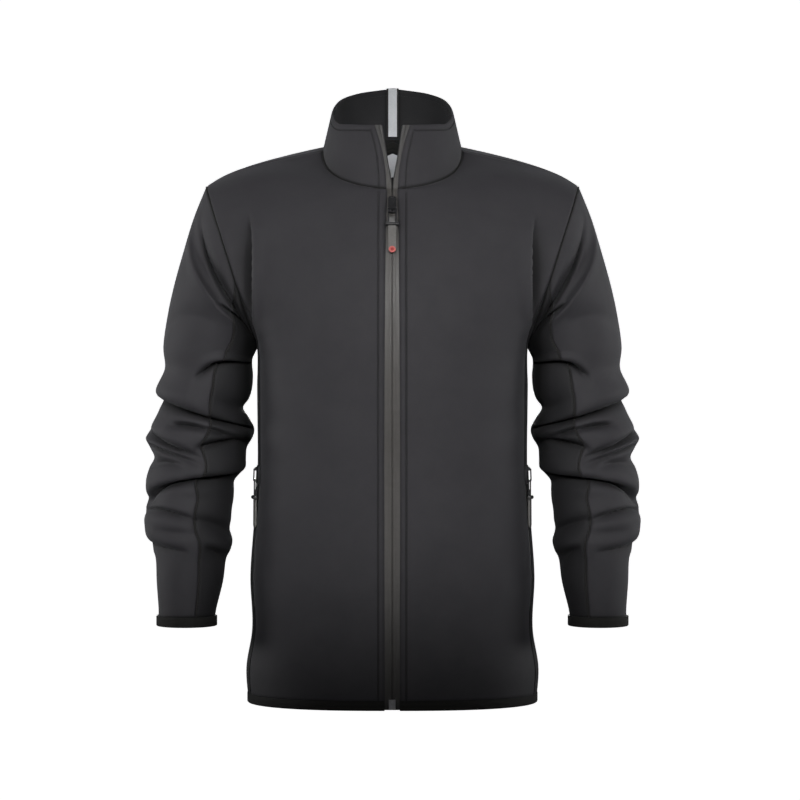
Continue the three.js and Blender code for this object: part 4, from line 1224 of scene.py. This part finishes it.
def wire_ring(name, outline, radius, pull, look):
    """A round wire bent along an outline."""
    path = placed(np.insert(outline, 1, 0, axis=1), pull)
    ways = np.roll(outline, -1, axis=0) - np.roll(outline, 1, axis=0)
    aside = unit(np.stack([ways[:, 1], np.zeros(len(ways)), -ways[:, 0]], -1))
    ups = placed(aside, pull) - pull[0]
    outs = pull[2]
    return swept(name, path, outs, ups, round_sections(radius, 36), look, closed=True)


def drawn_in(outline, distance):
    ahead = unit(np.roll(outline, -1, axis=0) - outline)
    behind = unit(outline - np.roll(outline, 1, axis=0))
    middle = unit(ahead + behind)
    return outline + np.stack([-middle[:, 1], middle[:, 0]], -1) * distance


def rounded_plate(name, outline, thick, edge, pull, look, out=0.0):
    """A flat piece with rounded edges."""
    turns = np.radians([0, 30, 60, 90])
    half = thick / 2
    profile = [(edge * (1 - math.sin(t)), -half + edge * (1 - math.cos(t))) for t in turns]
    profile += [(inner, -away) for inner, away in profile[::-1]]
    rings = [np.insert(drawn_in(outline, inner), 1, away + out, axis=1) for inner, away in profile]
    count = len(outline)
    faces = [list(range(count)), list(range(len(rings) * count - 1, (len(rings) - 1) * count - 1, -1))]
    for k in range(len(rings) - 1):
        for i in range(count):
            j = (i + 1) % count
            faces.append([k * count + j, k * count + i, (k + 1) * count + i, (k + 1) * count + j])
    return make_object(name, placed(np.concatenate(rings), pull), faces, [look])


def cross_bar(name, pull, look):
    """A bar across a pull, flared at its ends."""
    xs = np.array([-1, -0.97, -0.85, -0.7, 0, 0.7, 0.85, 0.97, 1]) * BAR["half"]
    sizes = BAR["wire"] * np.array([0.6, 1.05, 1.1, 0.95, 0.9, 0.95, 1.1, 1.05, 0.6])
    path = placed(points_of(xs, BAR["out"], BAR["z"]), pull)
    _, _, outs, ups = pull
    return swept(name, path, outs, ups, round_sections(sizes, 36), look)


def grip_outline():
    half, top, end = GRIP["half"], GRIP["top"], GRIP["end"]
    turns = np.linspace(180, 360, 15)
    low = [(half * cosine(turn), end + half + half * sine(turn)) for turn in turns]
    return np.array([(-half, top), *low, (half, top)])


def add_dot(pull):
    """A round plate with a raised rim, darker in its middle."""
    radii = [0, 1.2, 1.9, DOT["core"], 2.4, 3.2, 3.9, DOT["radius"], DOT["radius"]]
    outs = [0.35, 0.35, 0.3, 0.15, 0.45, 0.55, 0.45, 0.1, -0.6]
    turns = np.arange(0, 361, 10.0)
    grid = np.array([[(r * cosine(t), DOT["out"] + out, DOT["z"] + r * sine(t)) for t in turns]
                     for r, out in zip(radii, outs)])
    points, places, faces = weld([(placed(grid, pull), False)])
    middle = placed(np.array([0, DOT["out"], DOT["z"]]), pull)
    rings = [1 if np.linalg.norm(points[face].mean(0) - middle) > DOT["core"] + 0.1 else 0 for face in faces]
    return make_object("zip_pull_dot", points, faces, [looks["red"], looks["red_ring"]], None, rings)


def add_pulls():
    for name, pull in pull_frames().items():
        outline = rounded_outline(HEAD["half"], HEAD["top"], HEAD["low"], HEAD["corner"])
        ring = wire_ring(f"{name}_head", outline, HEAD["wire"], pull, looks["metal"])
        place(ring, f"{name}_head", "zip_metal", name)
        thick, edge = GRIP["thick"], GRIP["edge"]
        grip = rounded_plate(f"{name}_grip", grip_outline(), thick, edge, pull, looks["rubber"])
        place(grip, f"{name}_grip", "grip", name)
        window = rounded_outline(WINDOW["half"], WINDOW["top"], WINDOW["low"], 0.8)
        extras = [
            (cross_bar(f"{name}_bar", pull, looks["coil"]), "zip_metal"),
            (rounded_plate(f"{name}_loop", window, WINDOW["thick"], 0.3, pull, looks["window"]), "grip"),
        ]
        for obj, slot in extras:
            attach(obj, name)
        if name == "zip_pull":
            place(add_dot(pull), "zip_pull_dot", "dot", name)


# How deep and thick the cords of the neck and the armholes are, and those of the sleeves
CORD_DEEP, CORD_RADIUS = 1.1, 1.3
SLEEVE_CORD_LIFT, SLEEVE_CORD_RADIUS = -0.55, 0.95


def add_seam_cords():
    """Dark cords deep in the groove between the pieces of the neck, armhole and sleeve seams, for the
    turned-in cloth there; their dark colour is painted shade in the groove.
    """
    half = neck_seam(np.linspace(NECK_START, 180, 90))
    path = np.concatenate([half, mirrored(half)[::-1][1:]])
    path = path - CORD_DEEP * unit(0.6 * unit(path * [1, 1, 0]) + [0, 0, 0.8])
    steps = unit(np.gradient(path, axis=0))
    outs = unit(np.cross(steps, UPWARD))
    sections = round_sections(CORD_RADIUS)
    cords = [swept("neck_seam_cord", path, outs, unit(np.cross(outs, steps)), sections, looks["binding"])]
    ring = armhole(np.arange(0, 360, 4.0))
    for side, sign in (("left", 1), ("right", -1)):
        outs = unit(ring - ring.mean(0)) * [sign, 1, 1]
        path = ring * [sign, 1, 1] - CORD_DEEP * outs
        steps = unit(np.roll(path, -1, axis=0) - np.roll(path, 1, axis=0))
        ups = unit(np.cross(outs, steps))
        cords.append(swept(f"armhole_seam_cord_{side}", path, outs, ups, sections, looks["binding"], True))
    steps = np.linspace(0.3, LAST_STEP - 0.2, 300)
    for name, turn in (("front", SEAM_FRONT_TURN), ("back", SEAM_BACK_TURN)):
        path, outs = sewn(on_sleeve, steps, seam_turns(turn, steps), arm_centre, SLEEVE_CORD_LIFT)
        across = ways_across(path, outs)
        cords += cord_pair(f"sleeve_{name}_cord", path, outs, across, SLEEVE_CORD_RADIUS, looks["edging"])
    return cords


def add_trim():
    """Sewing and zip parts that stand for no solid of their own."""
    pieces = [(obj, "binding") for obj in (*add_sewing(), *add_seam_cords(), add_reflector_edges())]
    pieces += [(obj, "zip_tape") for obj in (*add_coils(), *add_pocket_coils())]
    for obj, slot in pieces:
        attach(obj, "jacket")
    add_pulls()


def add_jacket():
    made = {}
    for part in (add_body(), add_sleeves(), add_collar(), add_bindings(), add_zip_tapes(), add_neck_trim()):
        made.update(part)
    for name, objects in made.items():
        for obj in objects:
            place(obj, obj.name.removesuffix("_shell"), SLOTS[name])


def finish_cad_nodes():
    """Materials and softened edges for the CAD's own hard pieces: the sliders, their bridges and the box."""
    for name, node in frame["nodes"].items():
        if node.hide_render:
            continue
        node.data.materials.clear()
        node.data.materials.append(looks["steel" if name == "zip_box" else "metal"])
        edges = node.modifiers.new("edges", "BEVEL")
        edges.width = 0.0003
        edges.segments = 2


add_camera()
add_jacket()
add_trim()
finish_cad_nodes()
add_studio()
